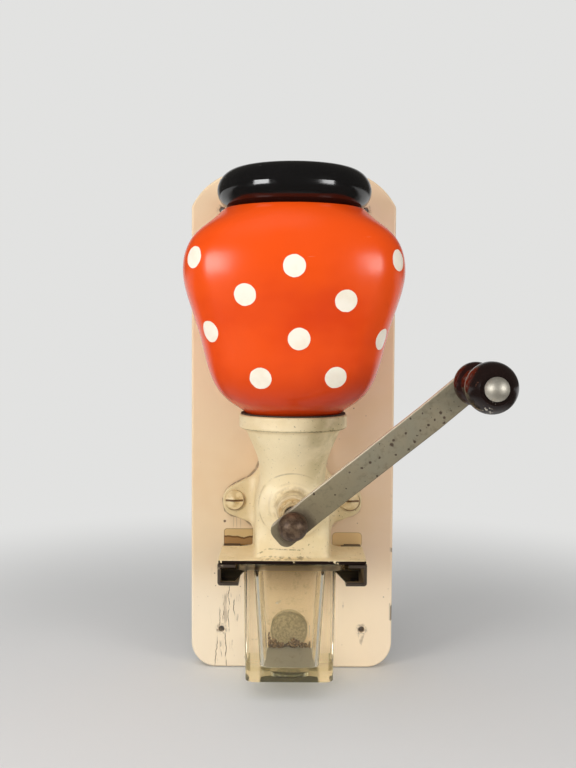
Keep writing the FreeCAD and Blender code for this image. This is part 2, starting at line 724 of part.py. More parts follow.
def makeMillHousing():
    body = newBody("mill_housing")
    back = "boardThickness"
    # The burr chamber is an arch that stands on the shelf, with draft towards its front.
    arches = []
    for name, lift, radius in (("chamberBack", back, "chamberRadius + chamberDraft"),
                               ("chamberFace", "chamberFront", "chamberRadius")):
        arch = newSketch(body, name, "XZ_Plane", lift=lift)
        outline(arch, [
            ("-(%s)" % radius, "shelfTop - shelfThickness / 2"),
            (radius, "shelfTop - shelfThickness / 2"),
            (radius, "shaftHeight"),
            ("-(%s)" % radius, "shaftHeight"),
        ], {2: "half"})
        arches.append(arch)
    loft(body, "AdditiveLoft", arches, ruled=True)
    front = -measure("chamberFront")
    foot = measure("shelfTop - shelfThickness / 2")
    roundEdges(body, "chamberEdge", "chamberFillet",
               lambda edge, middle: near(middle.y, front) and not near(middle.z, foot))
    # The nose carries the front bush on a long boss.
    nose = newSketch(body, "nose", "XY_Plane")
    nose.setExpression("AttachmentOffset.Base.z", bound("shaftHeight"))
    outline(nose, [
        ("0", "-(chamberFront - 6)"),
        ("noseRimRadius", "-(chamberFront - 6)"),
        ("noseRimRadius", "-noseRimDepth"),
        ("noseFaceRadius", "-noseFaceDepth"),
        ("noseFootRadius", "-noseFootDepth"),
        ("bossRadius", "-(noseFootDepth + noseFillet)"),
        ("bossRadius", "-bossDepth"),
        ("0", "-bossDepth"),
    ], {2: "-(noseFaceDepth - noseRimDepth)", 4: "noseFillet"})
    revolve(body, nose)
    flange = newSketch(body, "flange", "XZ_Plane", lift=back)
    # Each ear is a round lobe that widens along two slopes towards the body.
    earIn = "earHalfWidth - earRadius"
    earHigh = earScrewHeight + " + earRise"
    earLow = earScrewHeight + " - earSink"
    upperX = earIn + " + earRadius * sin(earUpperSlope)"
    upperZ = earHigh + " + earRadius * cos(earUpperSlope)"
    lowerX = earIn + " + earRadius * sin(earLowerSlope)"
    lowerZ = earLow + " - earRadius * cos(earLowerSlope)"
    bendX = "flangeHalfWidth + earUpperSweep * (1 - sin(earUpperSlope))"
    bendZ = "%s + (%s - (%s)) * tan(earUpperSlope)" % (upperZ, upperX, bendX)
    heelX = "webHalfWidth + earLowerSweep * (1 - sin(earLowerSlope))"
    heelZ = "%s - (%s - (%s)) * tan(earLowerSlope)" % (lowerZ, lowerX, heelX)
    half = [
        ("webHalfWidth", "shelfTop - shelfThickness"),
        ("webHalfWidth", heelZ + " - earLowerSweep * cos(earLowerSlope)"),
        (heelX, heelZ),
        (lowerX, lowerZ),
        ("earHalfWidth", earLow),
        ("earHalfWidth", earHigh),
        (upperX, upperZ),
        (bendX, bendZ),
        ("flangeHalfWidth", bendZ + " + earUpperSweep * cos(earUpperSlope)"),
        ("flangeHalfWidth", "flangeTop"),
    ]
    other = [("-(%s)" % x, z) for x, z in reversed(half)]
    arcs = {1: "-earLowerSweep", 3: "earRadius", 5: "earRadius", 7: "-earUpperSweep"}
    last = len(half) + len(other) - 2
    arcs.update({last - number: size for number, size in list(arcs.items())})
    outline(flange, half + other, arcs)
    extrude(body, flange, "Pad", "flangeThickness")
    shelf = newSketch(body, "shelf", "XY_Plane", lift=shelfUnder)
    notchEdge = "webHalfWidth + shelfNotchRadius"
    side = [
        ("webHalfWidth", "-boardThickness"),
        ("webHalfWidth", "-(shelfNotchDepth - shelfNotchRadius)"),
        (notchEdge, "-shelfNotchDepth"),
        ("shelfHalfWidth", "-shelfNotchDepth"),
        ("shelfHalfWidth", "-(shelfFront - shelfCornerRadius)"),
        ("shelfHalfWidth - shelfCornerRadius", "-shelfFront"),
    ]
    rest = [("-(%s)" % x, y) for x, y in reversed(side)]
    turns = {1: "shelfNotchRadius", 4: "-shelfCornerRadius"}
    last = len(side) + len(rest) - 2
    turns.update({last - number: size for number, size in list(turns.items())})
    outline(shelf, side + rest, turns)
    extrude(body, shelf, "Pad", "shelfThickness")
    # The neck leans back from the collar to the chamber and narrows on the way.
    neckTop = "collarTop - collarHeight"
    neck = [
        neckSection(body, "neckTop", neckTop, "hopperDepth", "collarRadius - neckInset"),
        neckSection(body, "neckShoulder", neckTop + " - neckShoulderDrop",
                    "hopperDepth - neckShoulderLean", "neckShoulderRadius"),
        neckSection(body, "neckWaist", neckTop + " - neckWaistDrop",
                    "hopperDepth - neckWaistLean", "neckWaistRadius"),
        neckSection(body, "neckHip", neckTop + " - neckHipDrop",
                    "hopperDepth - neckHipLean", "neckHipRadius"),
        neckSection(body, "neckFoot", "shaftHeight + neckFootRise",
                    "hopperDepth - neckFootLean", "neckFootRadius"),
    ]
    loft(body, "AdditiveLoft", neck)
    collar = newSketch(body, "collar", "XZ_Plane", lift="hopperDepth")
    collarFoot = "collarTop - collarHeight"
    outline(collar, [
        ("0", collarFoot + " - collarStep"),
        ("collarRadius - 5", collarFoot + " - collarStep"),
        ("collarRadius", collarFoot),
        ("collarRadius", "collarTop"),
        ("0", "collarTop"),
    ])
    revolve(body, collar)
    # Stepped bore for bridge, ring burr, feed worm and front bush.
    bore = newSketch(body, "bore", "XY_Plane", lift="shaftHeight")
    outline(bore, [
        ("0", "-(boardThickness - 1)"),
        ("bridgeRecessRadius", "-(boardThickness - 1)"),
        ("bridgeRecessRadius", "-bridgeSeatDepth"),
        ("ringBoreRadius", "-bridgeSeatDepth"),
        ("ringBoreRadius", "-ringSeatDepth"),
        ("feedBoreRadius", "-ringSeatDepth"),
        ("feedBoreRadius", "-feedBoreFront"),
        ("noseBoreRadius", "-feedBoreFront"),
        ("noseBoreRadius", "-(bossDepth + 1)"),
        ("0", "-(bossDepth + 1)"),
    ])
    revolve(body, bore, "Groove")
    throat = [
        neckSection(body, "throatTop", "collarTop + 0.5", "hopperDepth", "throatRadius"),
        neckSection(body, "throatUpper", "collarTop - throatUpperDrop",
                    "hopperDepth - throatUpperLean", "throatRadius - throatUpperInset"),
        neckSection(body, "throatMiddle", "collarTop - throatMiddleDrop",
                    "hopperDepth - throatMiddleLean", "throatRadius - throatMiddleInset"),
        neckSection(body, "throatFoot", "shaftHeight + feedBoreRadius - throatFootSink",
                    "hopperDepth - throatFootLean", "feedBoreRadius - throatFootInset"),
    ]
    loft(body, "SubtractiveLoft", throat)
    # The chute widens forward under the ring burr to drop the grounds into the glass.
    chuteFoot = newSketch(body, "chuteFoot", "XY_Plane", lift=shelfUnder + " - 1")
    rectangleIn(chuteFoot, "-chuteHalfWidth", "-chuteFront", "chuteHalfWidth", "-chuteBack")
    chuteTop = newSketch(body, "chuteTop", "XY_Plane", lift="chuteUpperHeight")
    rectangleIn(chuteTop, "-chuteUpperHalfWidth", "-chuteUpperFront",
                "chuteUpperHalfWidth", "-chuteBack")
    loft(body, "SubtractiveLoft", [chuteFoot, chuteTop], ruled=True)
    gate = newSketch(body, "gate", "XY_Plane", lift="chuteUpperHeight - 0.5")
    rectangleIn(gate, "-chuteUpperHalfWidth", "-chuteUpperFront",
                "chuteUpperHalfWidth", "-chuteBack")
    extrude(body, gate, "Pocket", "shaftHeight - 6 - chuteUpperHeight", reverse=True)
    ears = newSketch(body, "earHoles", "XZ_Plane", lift="boardThickness - 1")
    for x in ("earScrewSpacing / 2", "-earScrewSpacing / 2"):
        circleIn(ears, x, earScrewHeight, "earScrewRadius + screwClearance")
    extrude(body, ears, "Pocket", "flangeThickness + 2", reverse=True)
    bridge = newSketch(body, "bridgeScrewHoles", "XZ_Plane", lift="bridgeSeatDepth - 1")
    for x in ("bridgeScrewCircle", "-bridgeScrewCircle"):
        circleIn(bridge, x, "shaftHeight", "bridgeScrewRadius + fitClearance")
    extrude(body, bridge, "Pocket", "bridgeScrewLength + 1", reverse=True)
    clamp = newSketch(body, "clampScrewHoles", "XY_Plane", lift="collarTop + 1")
    for turn in (0, 120, 240):
        x = "clampScrewCircle * cos(%d)" % turn
        y = "clampScrewCircle * sin(%d) - hopperDepth" % turn
        circleIn(clamp, x, y, "clampScrewRadius + fitClearance")
    length = "clampScrewLength - gasketThickness - hopperFloor - clampPadThickness - clampThickness"
    extrude(body, clamp, "Pocket", length + " + 2")
    rivets = newSketch(body, "rivetHoles", "XY_Plane", lift="shelfTop + 1")
    for x in ("rivetSpacing / 2", "-rivetSpacing / 2"):
        for depth in ("rivetBack", "rivetFront"):
            circleIn(rivets, x, "-" + depth, "rivetRadius + fitClearance")
    extrude(body, rivets, "Pocket", "shelfThickness + 2")


def makeRails():
    for label, sign in (("rail_left", "-1"), ("rail_right", "1")):
        body = newBody(label)
        sketch = newSketch(body, "section", "XZ_Plane", lift="railBack")
        top = shelfUnder
        foot = shelfUnder + " - railHeight"
        corners = [
            ("railFlangeEdge", top), ("railFlangeEdge", top + " - railSheet"),
            ("shelfHalfWidth - railSheet", top + " - railSheet"),
            ("shelfHalfWidth - railSheet", foot + " + railSheet"),
            ("railLipEdge", foot + " + railSheet"), ("railLipEdge", foot),
            ("shelfHalfWidth - railBendRadius", foot),
            ("shelfHalfWidth", foot + " + railBendRadius"),
            ("shelfHalfWidth", top),
        ]
        corners = [("%s * (%s)" % (sign, x), z) for x, z in corners]
        outline(sketch, corners, {6: "railBendRadius" if sign == "1" else "-railBendRadius"})
        extrude(body, sketch, "Pad", "shelfFront - railBack")
        stop = newSketch(body, "rearStop", "XZ_Plane", lift="railBack")
        edges = sorted(("%s * railLipEdge" % sign, "%s * (shelfHalfWidth - railSheet / 2)" % sign),
                       key=measure)
        rectangleIn(stop, edges[0], foot + " + railSheet / 2", edges[1], top + " - railSheet / 2")
        extrude(body, stop, "Pad", "railSheet")
        holes = newSketch(body, "rivetHoles", "XY_Plane", lift=shelfUnder + " + 1")
        for depth in ("rivetBack", "rivetFront"):
            circleIn(holes, "%s * rivetSpacing / 2" % sign, "-" + depth, "rivetRadius + fitClearance")
        extrude(body, holes, "Pocket", "railSheet + 1.5")
    rivets = newBody("rail_rivets")
    rivet = []
    for depth in ("rivetBack", "rivetFront"):
        under = shelfUnder + " - railSheet"
        sketch = newSketch(rivets, depth, "XZ_Plane", lift=depth, shift="rivetSpacing / 2")
        outline(sketch, [
            ("0", under + " - rivetHeadThickness"), ("rivetHead", under + " - rivetHeadThickness / 3"),
            ("rivetHead", under), ("rivetRadius", under),
            ("rivetRadius", "shelfTop"), ("0", "shelfTop"),
        ])
        rivet.append(revolve(rivets, sketch))
    mirrored(rivets, rivet, "YZ_Plane")


def makeGlassJar():
    body = newBody("glass_jar", x="jarShift", y="-(jarBack + jarDepth / 2)")
    foot = jarTop + " - jarHeight"
    upper = squareSection(body, "top", jarTop, "jarWidth / 2", "jarDepth / 2", "jarCorner")
    lower = squareSection(body, "foot", foot, "(jarWidth - jarTaper) / 2",
                          "(jarDepth - jarTaper) / 2", "jarCorner")
    loft(body, "AdditiveLoft", [upper, lower], ruled=True)
    # Wings at the rim hang the glass on the lips of the rails.
    wing = newSketch(body, "wings", "XZ_Plane", lift="-jarDepth / 2 + jarCorner / 3")
    lip = shelfUnder + " - railHeight + railSheet + looseClearance"
    reach = "shelfHalfWidth - railSheet - looseClearance + jarShift"
    half = [
        ("jarWidth / 2 - 1", jarTop + " - jarRimHeight - 1"),
        ("railLipEdge + 1", lip), (reach, lip),
        (reach, jarTop + " - jarWingDrop"),
        ("jarRimHalfWidth", jarTop + " - jarWingDrop"),
        ("jarRimHalfWidth", jarTop),
    ]
    outline(wing, half + [("-(%s)" % x, z) for x, z in reversed(half)])
    extrude(body, wing, "Pad", "jarDepth - 2 * jarCorner / 3")
    rim = squareSection(body, "rim", jarTop + " - jarRimHeight", "jarRimHalfWidth",
                        "jarDepth / 2 + jarRimProud", "jarCorner")
    extrude(body, rim, "Pad", "jarRimHeight")
    mouth = squareSection(body, "mouth", jarTop + " + 1", "jarMouth / 2", "jarMouth / 2",
                          "jarInnerCorner")
    floor = squareSection(body, "floor", foot + " + jarFloor", "jarFloorWidth / 2",
                          "jarFloorWidth / 2", "jarInnerCorner")
    loft(body, "SubtractiveLoft", [mouth, floor], ruled=True)
    punt = newSketch(body, "punt", "XY_Plane", lift=foot)
    circleIn(punt, "0", "0", "jarPuntRadius")
    extrude(body, punt, "Pocket", "jarPuntDepth", reverse=True)


# A rounded rectangle about the origin of its sketch.
def squareSection(body, name, height, halfWidth, halfDepth, corner):
    sketch = newSketch(body, name, "XY_Plane", lift=height)
    inX = "%s - %s" % (halfWidth, corner)
    inY = "%s - %s" % (halfDepth, corner)
    outline(sketch, [
        ("-(%s)" % inX, "-(%s)" % halfDepth), (inX, "-(%s)" % halfDepth),
        (halfWidth, "-(%s)" % inY), (halfWidth, inY),
        (inX, halfDepth), ("-(%s)" % inX, halfDepth),
        ("-(%s)" % halfWidth, inY), ("-(%s)" % halfWidth, "-(%s)" % inY),
    ], {1: corner, 3: corner, 5: corner, 7: corner})
    return sketch


def makeEarScrews():
    body = newBody("housing_screws", z=earScrewHeight)
    seat = "boardThickness + flangeThickness"
    tip = seat + " - earScrewLength"
    screw = turned(body, "screw", [
        ("0", tip), ("earScrewRadius", tip + " + 3"), ("earScrewRadius", seat),
        ("earScrewHead", seat), ("earScrewHead", seat + " + earScrewHeadHeight / 3"),
        ("0", seat + " + earScrewHeadHeight"),
    ], {4: "(earScrewHead^2 + (earScrewHeadHeight * 2 / 3)^2) / (earScrewHeadHeight * 4 / 3)"},
        shift="earScrewSpacing / 2")
    slot = newSketch(body, "slot", "XZ_Plane", lift=seat + " + earScrewHeadHeight - slotDepth")
    rectangleIn(slot, "earScrewSpacing / 2 - earScrewHead", "-slotWidth / 2",
                "earScrewSpacing / 2 + earScrewHead", "slotWidth / 2")
    cut = extrude(body, slot, "Pocket", "slotDepth + 1", reverse=True)
    mirrored(body, [screw, cut], "YZ_Plane")


def makeBridge():
    body = newBody("rear_bridge", z="shaftHeight")
    reach = "bridgeRecessRadius - looseClearance"
    flat = "sqrt((%s)^2 - bridgeHalfWidth^2)" % reach
    plate = newSketch(body, "plate", "XZ_Plane", lift="bridgeSeatDepth - bridgeThickness")
    outline(plate, [
        ("-" + flat, "-bridgeHalfWidth"), (flat, "-bridgeHalfWidth"),
        (flat, "bridgeHalfWidth"), ("-" + flat, "bridgeHalfWidth"),
    ], {1: reach, 3: reach})
    extrude(body, plate, "Pad", "bridgeThickness")
    boss = newSketch(body, "boss", "XZ_Plane", lift="bridgeSeatDepth - bridgeThickness")
    circleIn(boss, "0", "0", "bridgeBossRadius")
    extrude(body, boss, "Pad", "bridgeThickness + bridgeBossLength")
    holes = newSketch(body, "holes", "XZ_Plane", lift="bridgeSeatDepth - bridgeThickness - 1")
    circleIn(holes, "0", "0", "shaftRearRadius + rearBushWall + fitClearance")
    for x in ("bridgeScrewCircle", "-bridgeScrewCircle"):
        circleIn(holes, x, "0", "bridgeScrewRadius + screwClearance")
    extrude(body, holes, "Pocket", "bridgeThickness + bridgeBossLength + 2", reverse=True)
    screws = newBody("bridge_screws", z="shaftHeight")
    seat = "bridgeSeatDepth - bridgeThickness"
    tip = "bridgeSeatDepth + bridgeScrewLength - 1"
    screw = turned(screws, "screw", [
        ("0", seat + " - bridgeScrewHeadHeight"), ("bridgeScrewHead", seat + " - bridgeScrewHeadHeight"),
        ("bridgeScrewHead", seat), ("bridgeScrewRadius", seat), ("bridgeScrewRadius", tip), ("0", tip),
    ], shift="bridgeScrewCircle")
    mirrored(screws, [screw], "YZ_Plane")
    bush = newBody("rear_bush", z="shaftHeight")
    shaftRing(bush, "ring", "shaftRearRadius + fitClearance", "shaftRearRadius + rearBushWall",
              "bridgeSeatDepth - bridgeThickness", "bridgeSeatDepth + bridgeBossLength")


def makeFrontBearing():
    bush = newBody("front_bush", z="shaftHeight")
    outer = "noseBoreRadius - fitClearance"
    inner = "shaftRadius + fitClearance"
    turned(bush, "shape", [
        (inner, "feedBoreFront"), (outer, "feedBoreFront"), (outer, "bossDepth"),
        ("bushFlangeRadius", "bossDepth"), ("bushFlangeRadius", bushFront), (inner, bushFront),
    ])
    # The washer is keyed by two flats, so it turns with the shaft and stays at the nose.
    washer = newBody("thrust_washer", z="shaftHeight")
    leanWithCrank(washer)
    plate = newSketch(washer, "plate", "XZ_Plane", lift=bushFront + " + fitClearance")
    circleIn(plate, "0", "0", "washerRadius")
    extrude(washer, plate, "Pad", "washerThickness")
    hole = newSketch(washer, "hole", "XZ_Plane", lift=bushFront)
    high = "shaftFlat + fitClearance"
    wide = "sqrt((%s)^2 - (%s)^2)" % (inner, high)
    outline(hole, [
        ("-" + wide, "-(%s)" % high), (wide, "-(%s)" % high), (wide, high), ("-" + wide, high),
    ], {1: inner, 3: inner})
    extrude(washer, hole, "Pocket", "washerThickness + 1", reverse=True)
    nut = newBody("adjusting_nut", z="shaftHeight")
    shaftRing(nut, "ring", inner, "nutRadius", washerFront, washerFront + " + nutLength")
    notch = newSketch(nut, "notch", "XZ_Plane", lift=washerFront + " - 1")
    circleIn(notch, "0", "nutRadius + nutNotchRise", "nutNotchDepth")
    cut = extrude(nut, notch, "Pocket", "nutLength + 2", reverse=True)
    polar(nut, cut, "Y_Axis", "nutNotches")


def makeShaft():
    body = newBody("drive_shaft", z="shaftHeight")
    leanWithCrank(body)
    shoulder = "bridgeSeatDepth + bridgeBossLength + 1.5"
    turned(body, "shape", [
        ("0", "shaftRearEnd"), ("shaftRearRadius", "shaftRearEnd"), ("shaftRearRadius", shoulder),
        ("shaftBurrRadius", shoulder), ("shaftBurrRadius", wormFront), ("shaftRadius", wormFront),
        ("shaftRadius", "crankSeat"), ("studRadius", "crankSeat"),
        ("studRadius", crankFront + " + studLength"), ("0", crankFront + " + studLength"),
    ])
    square = newSketch(body, "square", "XZ_Plane", lift="crankSeat - 1")
    rectangleIn(square, "-squareWidth / 2", "-squareWidth / 2", "squareWidth / 2", "squareWidth / 2")
    extrude(body, square, "Pad", "crankThickness + 1 - looseClearance")
    flats = newSketch(body, "flats", "XZ_Plane", lift=bushFront + " - 1.5")
    rectangleIn(flats, "-shaftRadius - 1", "shaftFlat", "shaftRadius + 1", "shaftRadius + 2")
    flat = extrude(body, flats, "Pocket", "shaftFlatLength", reverse=True)
    mirrored(body, [flat], "XY_Plane")
    pins = newSketch(body, "pinHoles", "XY_Plane")
    for depth in pinDepths:
        circleIn(pins, "0", "-(%s)" % depth, "pinRadius + fitClearance")
    extrude(body, pins, "Pocket", "4 * shaftBurrRadius", midplane=True)
    crosspins = newBody("cross_pins", z="shaftHeight")
    leanWithCrank(crosspins)
    sketch = newSketch(crosspins, "pins", "XY_Plane")
    for depth in pinDepths:
        circleIn(sketch, "0", "-(%s)" % depth, "pinRadius")
    extrude(crosspins, sketch, "Pad", "pinLength", midplane=True)


pinDepths = (coneRear + " + 4", wormBack + " + 3")


def makeWorm():
    body = newBody("feed_worm", z="shaftHeight")
    leanWithCrank(body)
    inner = "shaftBurrRadius + fitClearance"
    turned(body, "hub", [
        (inner, wormBack), ("wormHubRadius", wormBack),
        ("wormHubRadius", wormFront + " - wormCollarLength"),
        ("wormCollarRadius", wormFront + " - wormCollarLength"),
        ("wormCollarRadius", wormFront), (inner, wormFront),
    ])
    flight = newSketch(body, "flight", "XY_Plane")
    start = wormBack + " + 0.4"
    outline(flight, [
        ("wormHubRadius - 0.5", "-(%s + wormFlight)" % start),
        ("wormRadius", "-(%s + wormFlight * 0.75)" % start),
        ("wormRadius", "-(%s + wormFlight * 0.25)" % start),
        ("wormHubRadius - 0.5", "-(%s)" % start),
    ])
    helix = body.newObject("PartDesign::AdditiveHelix", "feed_worm_helix")
    helix.Profile = flight
    helix.ReferenceAxis = (flight, ["V_Axis"])
    helix.Mode = 0
    helix.setExpression("Pitch", bound("wormPitch"))
    helix.setExpression("Height", bound("wormLength - wormCollarLength - wormFlight - 1"))
    helix.Reversed = True
    pins = newSketch(body, "pinHole", "XY_Plane")
    circleIn(pins, "0", "-(%s)" % pinDepths[1], "pinRadius + fitClearance")
    extrude(body, pins, "Pocket", "4 * wormHubRadius", midplane=True)
    spring = newBody("adjusting_spring", z="shaftHeight")
    wire = newSketch(spring, "wire", "XY_Plane")
    circleIn(wire, "springMeanRadius", "-(%s + springWire / 2 + fitClearance)" % wormFront,
             "springWire / 2")
    coil = spring.newObject("PartDesign::AdditiveHelix", "adjusting_spring_coil")
    coil.Profile = wire
    coil.ReferenceAxis = (wire, ["V_Axis"])
    coil.Mode = 2
    gap = "feedBoreFront - (%s) - springWire - 2 * fitClearance" % wormFront
    coil.setExpression("Height", bound(gap))
    coil.setExpression("Turns", bound("springTurns"))
    coil.Reversed = True


# A toothed outline about the shaft line, turned by an angle, at one depth.
def toothedWire(outer, inner, count, turn, depth):
    points = []
    for number in range(2 * count):
        radius = outer if number % 2 == 0 else inner
        angle = math.radians(turn) + math.pi * number / count
        points.append(FreeCAD.Vector(radius * math.cos(angle), -depth, radius * math.sin(angle)))
    return Part.makePolygon(points + points[:1])


# The teeth of both burrs are one toothed outline that twists along the cone.
def toothedCone(rear, front, back, length, depth, count, twist, steps=6):
    wires = []
    for step in range(steps + 1):
        share = step / steps
        outer = rear + (front - rear) * share
        wires.append(toothedWire(outer, outer - depth, count, twist * share, back + length * share))
    return Part.makeLoft(wires, True, True)


def shaftCylinder(radius, back, front):
    return Part.makeCylinder(radius, front - back, FreeCAD.Vector(0, -back, 0), FreeCAD.Vector(0, -1, 0))


def makeBurrs():
    back = measure(coneRear)
    length = measure("ringLength")
    rear = measure("coneRearRadius")
    front = measure("coneFrontRadius")
    tooth = measure("toothDepth")
    count = int(measure("toothCount"))
    ringCount = count + int(measure("ringExtraTeeth"))
    twist = measure("toothTwist")
    gap = measure("burrGap")
    fit = measure("fitClearance")
    cone = toothedCone(rear, front, back, length, tooth, count, twist)
    cone = cone.cut(shaftCylinder(measure("shaftBurrRadius") + fit, back - 1, back + length + 1))
    pinPlace = FreeCAD.Vector(0, -measure(pinDepths[0]), -3 * rear)
    cone = cone.cut(Part.makeCylinder(measure("pinRadius") + fit, 6 * rear, pinPlace))
    ring = shaftCylinder(measure("ringBoreRadius") - fit, back, back + length)
    # The cutter of the ring runs past both faces along the same cone.
    slope = (rear - front) / length
    over = 1.0
    hollow = toothedCone(rear + gap + tooth + slope * over, front + gap + tooth - slope * over,
                         back - over, length + 2 * over, tooth, ringCount, -twist)
    ring = ring.cut(hollow)
    for label, shape, angle in (("cone_burr", cone, measure("crankAngle")), ("ring_burr", ring, 0)):
        feature = doc.addObject("Part::Feature", label)
        feature.Label = label
        feature.Shape = shape
        feature.Placement = FreeCAD.Placement(
            FreeCAD.Vector(0, 0, measure("shaftHeight")),
            FreeCAD.Rotation(FreeCAD.Vector(0, -1, 0), angle))
        finished.append(feature)


def makeCrankArm():
    body = newBody("crank_arm", z="shaftHeight")
    leanWithCrank(body)
    bend = "crankReach - crankBend"
    end = "crankReach + crankHeadLength"
    low = "-crankSeat"
    high = "-(crankSeat + crankRise)"
    side = newSketch(body, "side", "XY_Plane")
    outline(side, [
        ("-crankTail", low), ("crankHubFlat", low), (bend, high), (end, high),
        (end, high + " - crankThickness"), (bend, high + " - crankThickness"),
        ("crankHubFlat", low + " - crankThickness"), ("-crankTail", low + " - crankThickness"),
    ])
    extrude(body, side, "Pad", "crankWidth", midplane=True)
    edgeHeight = measure("crankWidth / 2")
    for name, x, radius in (("tail", "-crankTail", "crankTailRadius"),
                            ("head", end, "crankEndRadius")):
        place = measure(x)
        roundEdges(body, name, radius,
                   lambda edge, middle: near(middle.x, place)
                   and near(abs(middle.z), edgeHeight))
    holes = newSketch(body, "holes", "XZ_Plane", lift="crankSeat - 1")
    across = "squareWidth / 2 + fitClearance"
    rectangleIn(holes, "-(%s)" % across, "-(%s)" % across, across, across)
    circleIn(holes, "crankReach", "0", "spindleRadius + fitClearance")
    extrude(body, holes, "Pocket", "crankThickness + crankRise + 3", reverse=True)
    nut = newBody("cap_nut", z="shaftHeight")
    bore = "studRadius + fitClearance"
    seat = crankFront
    depth = seat + " + studLength + looseClearance"
    dome = "capNutHeight - capNutSkirt"
    turned(nut, "shape", [
        (bore, seat), ("capNutRadius", seat), ("capNutRadius", seat + " + capNutSkirt"),
        ("0", seat + " + capNutHeight"), ("0", depth), (bore, depth),
    ], {2: "-(capNutRadius^2 + (%s)^2) / (2 * (%s))" % (dome, dome)})


def makeKnob():
    x = "crankReach * cos(crankAngle)"
    z = "shaftHeight + crankReach * sin(crankAngle)"
    back = "crankSeat + crankRise"
    washerTop = armEndFront + " + knobWasherThickness"
    knobBack = washerTop + " + looseClearance"
    knobFront = knobBack + " + knobLength"
    spindle = newBody("knob_spindle", x=x, z=z)
    capBack = knobFront + " + looseClearance"
    turned(spindle, "shape", [
        ("0", back + " - rivetHeadHeight"),
        ("rivetHeadRadius - 1.5", back + " - rivetHeadHeight"),
        ("rivetHeadRadius", back), ("spindleRadius", back), ("spindleRadius", capBack),
        ("endCapRadius", capBack), ("endCapRadius", capBack + " + endCapHeight / 4"),
        ("0", capBack + " + endCapHeight"),
    ], {6: "-(endCapRadius^2 + (endCapHeight * 0.75)^2) / (endCapHeight * 1.5)"})
    washer = newBody("knob_washer", x=x, z=z)
    shaftRing(washer, "ring", "spindleRadius + fitClearance", "knobWasherRadius",
              armEndFront, washerTop)
    knob = newBody("knob", x=x, z=z)
    bore = "spindleRadius + 1.6 * fitClearance"
    turned(knob, "shape", [
        (bore, knobBack), ("knobBaseRadius - 2.5", knobBack),
        ("knobBaseRadius", knobBack + " + knobLength * 0.05"),
        ("knobWaistRadius", knobBack + " + knobLength * 0.24"),
        ("knobBellyRadius", knobBack + " + knobLength * 0.74"),
        ("knobFaceRadius", knobFront), (bore, knobFront),
    ], {
        1: "-3",
        2: "-knobLength * 0.15",
        3: "knobLength * 0.62",
        4: "-knobLength * 0.265",
    })


makeBackboard()
makeMillHousing()
makeEarScrews()
makeHopper()
makeHopperSeat()
makeLid()
makeBridge()
makeFrontBearing()
makeShaft()
makeWorm()
makeBurrs()
makeCrankArm()
makeKnob()
makeRails()
makeGlassJar()
doc.recompute()

faults = []
for item in doc.Objects:
    if "Invalid" in item.State or "Error" in item.State:
        faults.append("%s: %s" % (item.Label, ", ".join(item.State)))
for item in finished:
    if item.Shape.isNull() or not item.Shape.isValid():
        faults.append(item.Label + ": no valid shape")
if faults:
    raise RuntimeError("; ".join(faults))

os.makedirs("parts", exist_ok=True)
for item in finished:
    item.Shape.exportStep("parts/%s.step" % item.Label)
    box = item.Shape.BoundBox
    print("%-18s %2d solid(s) %10.1f mm3  z %7.1f to %7.1f" % (
        item.Label, len(item.Shape.Solids), item.Shape.Volume, box.ZMin, box.ZMax))
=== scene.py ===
import bpy
import json
import random
from math import radians, sin, cos
from mathutils import Matrix, Vector

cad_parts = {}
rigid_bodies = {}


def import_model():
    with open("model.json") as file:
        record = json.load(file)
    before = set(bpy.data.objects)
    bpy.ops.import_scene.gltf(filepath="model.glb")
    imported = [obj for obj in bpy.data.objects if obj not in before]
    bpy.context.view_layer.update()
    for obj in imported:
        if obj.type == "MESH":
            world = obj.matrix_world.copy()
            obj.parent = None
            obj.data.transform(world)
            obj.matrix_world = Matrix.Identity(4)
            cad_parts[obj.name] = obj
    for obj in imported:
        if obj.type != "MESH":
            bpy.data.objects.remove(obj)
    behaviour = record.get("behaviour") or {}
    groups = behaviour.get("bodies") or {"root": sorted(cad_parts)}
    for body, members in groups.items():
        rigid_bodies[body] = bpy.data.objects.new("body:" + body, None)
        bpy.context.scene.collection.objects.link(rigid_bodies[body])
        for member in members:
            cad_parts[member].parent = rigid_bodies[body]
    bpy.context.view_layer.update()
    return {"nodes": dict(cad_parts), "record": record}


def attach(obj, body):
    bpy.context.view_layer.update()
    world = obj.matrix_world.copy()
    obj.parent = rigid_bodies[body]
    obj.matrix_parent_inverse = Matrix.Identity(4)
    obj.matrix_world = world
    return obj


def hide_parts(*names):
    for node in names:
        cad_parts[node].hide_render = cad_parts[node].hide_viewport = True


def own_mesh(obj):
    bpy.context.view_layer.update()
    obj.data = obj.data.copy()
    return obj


# Wall coffee mill, dressed for looks. Metres: X to the right, Y into the wall, Z up.
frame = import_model()
nodes = frame["nodes"]
print("solids loaded:", len(nodes))

# The crank's shaft lies along Y at x = 0 and this height.
shaftHeight = -0.0479
mm = 0.001   # for the few values that are kept in millimetres

view = {
    "place": (-0.0026, -0.6765, 0.0615),
    "turn": 0.076,
    "tilt": 2.991,
    "roll": 0.331,
    "lens": 43.96,
    "sensor": 36.0,
    "nearest": 0.02,
}


def placeCamera():
    lensData = bpy.data.cameras.new("photoCamera")
    lensData.lens = view["lens"]
    lensData.sensor_width = view["sensor"]
    lensData.clip_start = view["nearest"]
    camera = bpy.data.objects.new("photoCamera", lensData)
    bpy.context.scene.collection.objects.link(camera)
    turn = Matrix.Rotation(radians(view["turn"]), 4, "Z")
    tilt = Matrix.Rotation(radians(90 - view["tilt"]), 4, "X")
    roll = Matrix.Rotation(radians(view["roll"]), 4, "Z")
    camera.matrix_world = Matrix.Translation(view["place"]) @ turn @ tilt @ roll
    bpy.context.scene.camera = camera


placeCamera()
print("camera placed")

# The node helpers below all work in this tree, the one that was opened last.
tree = None


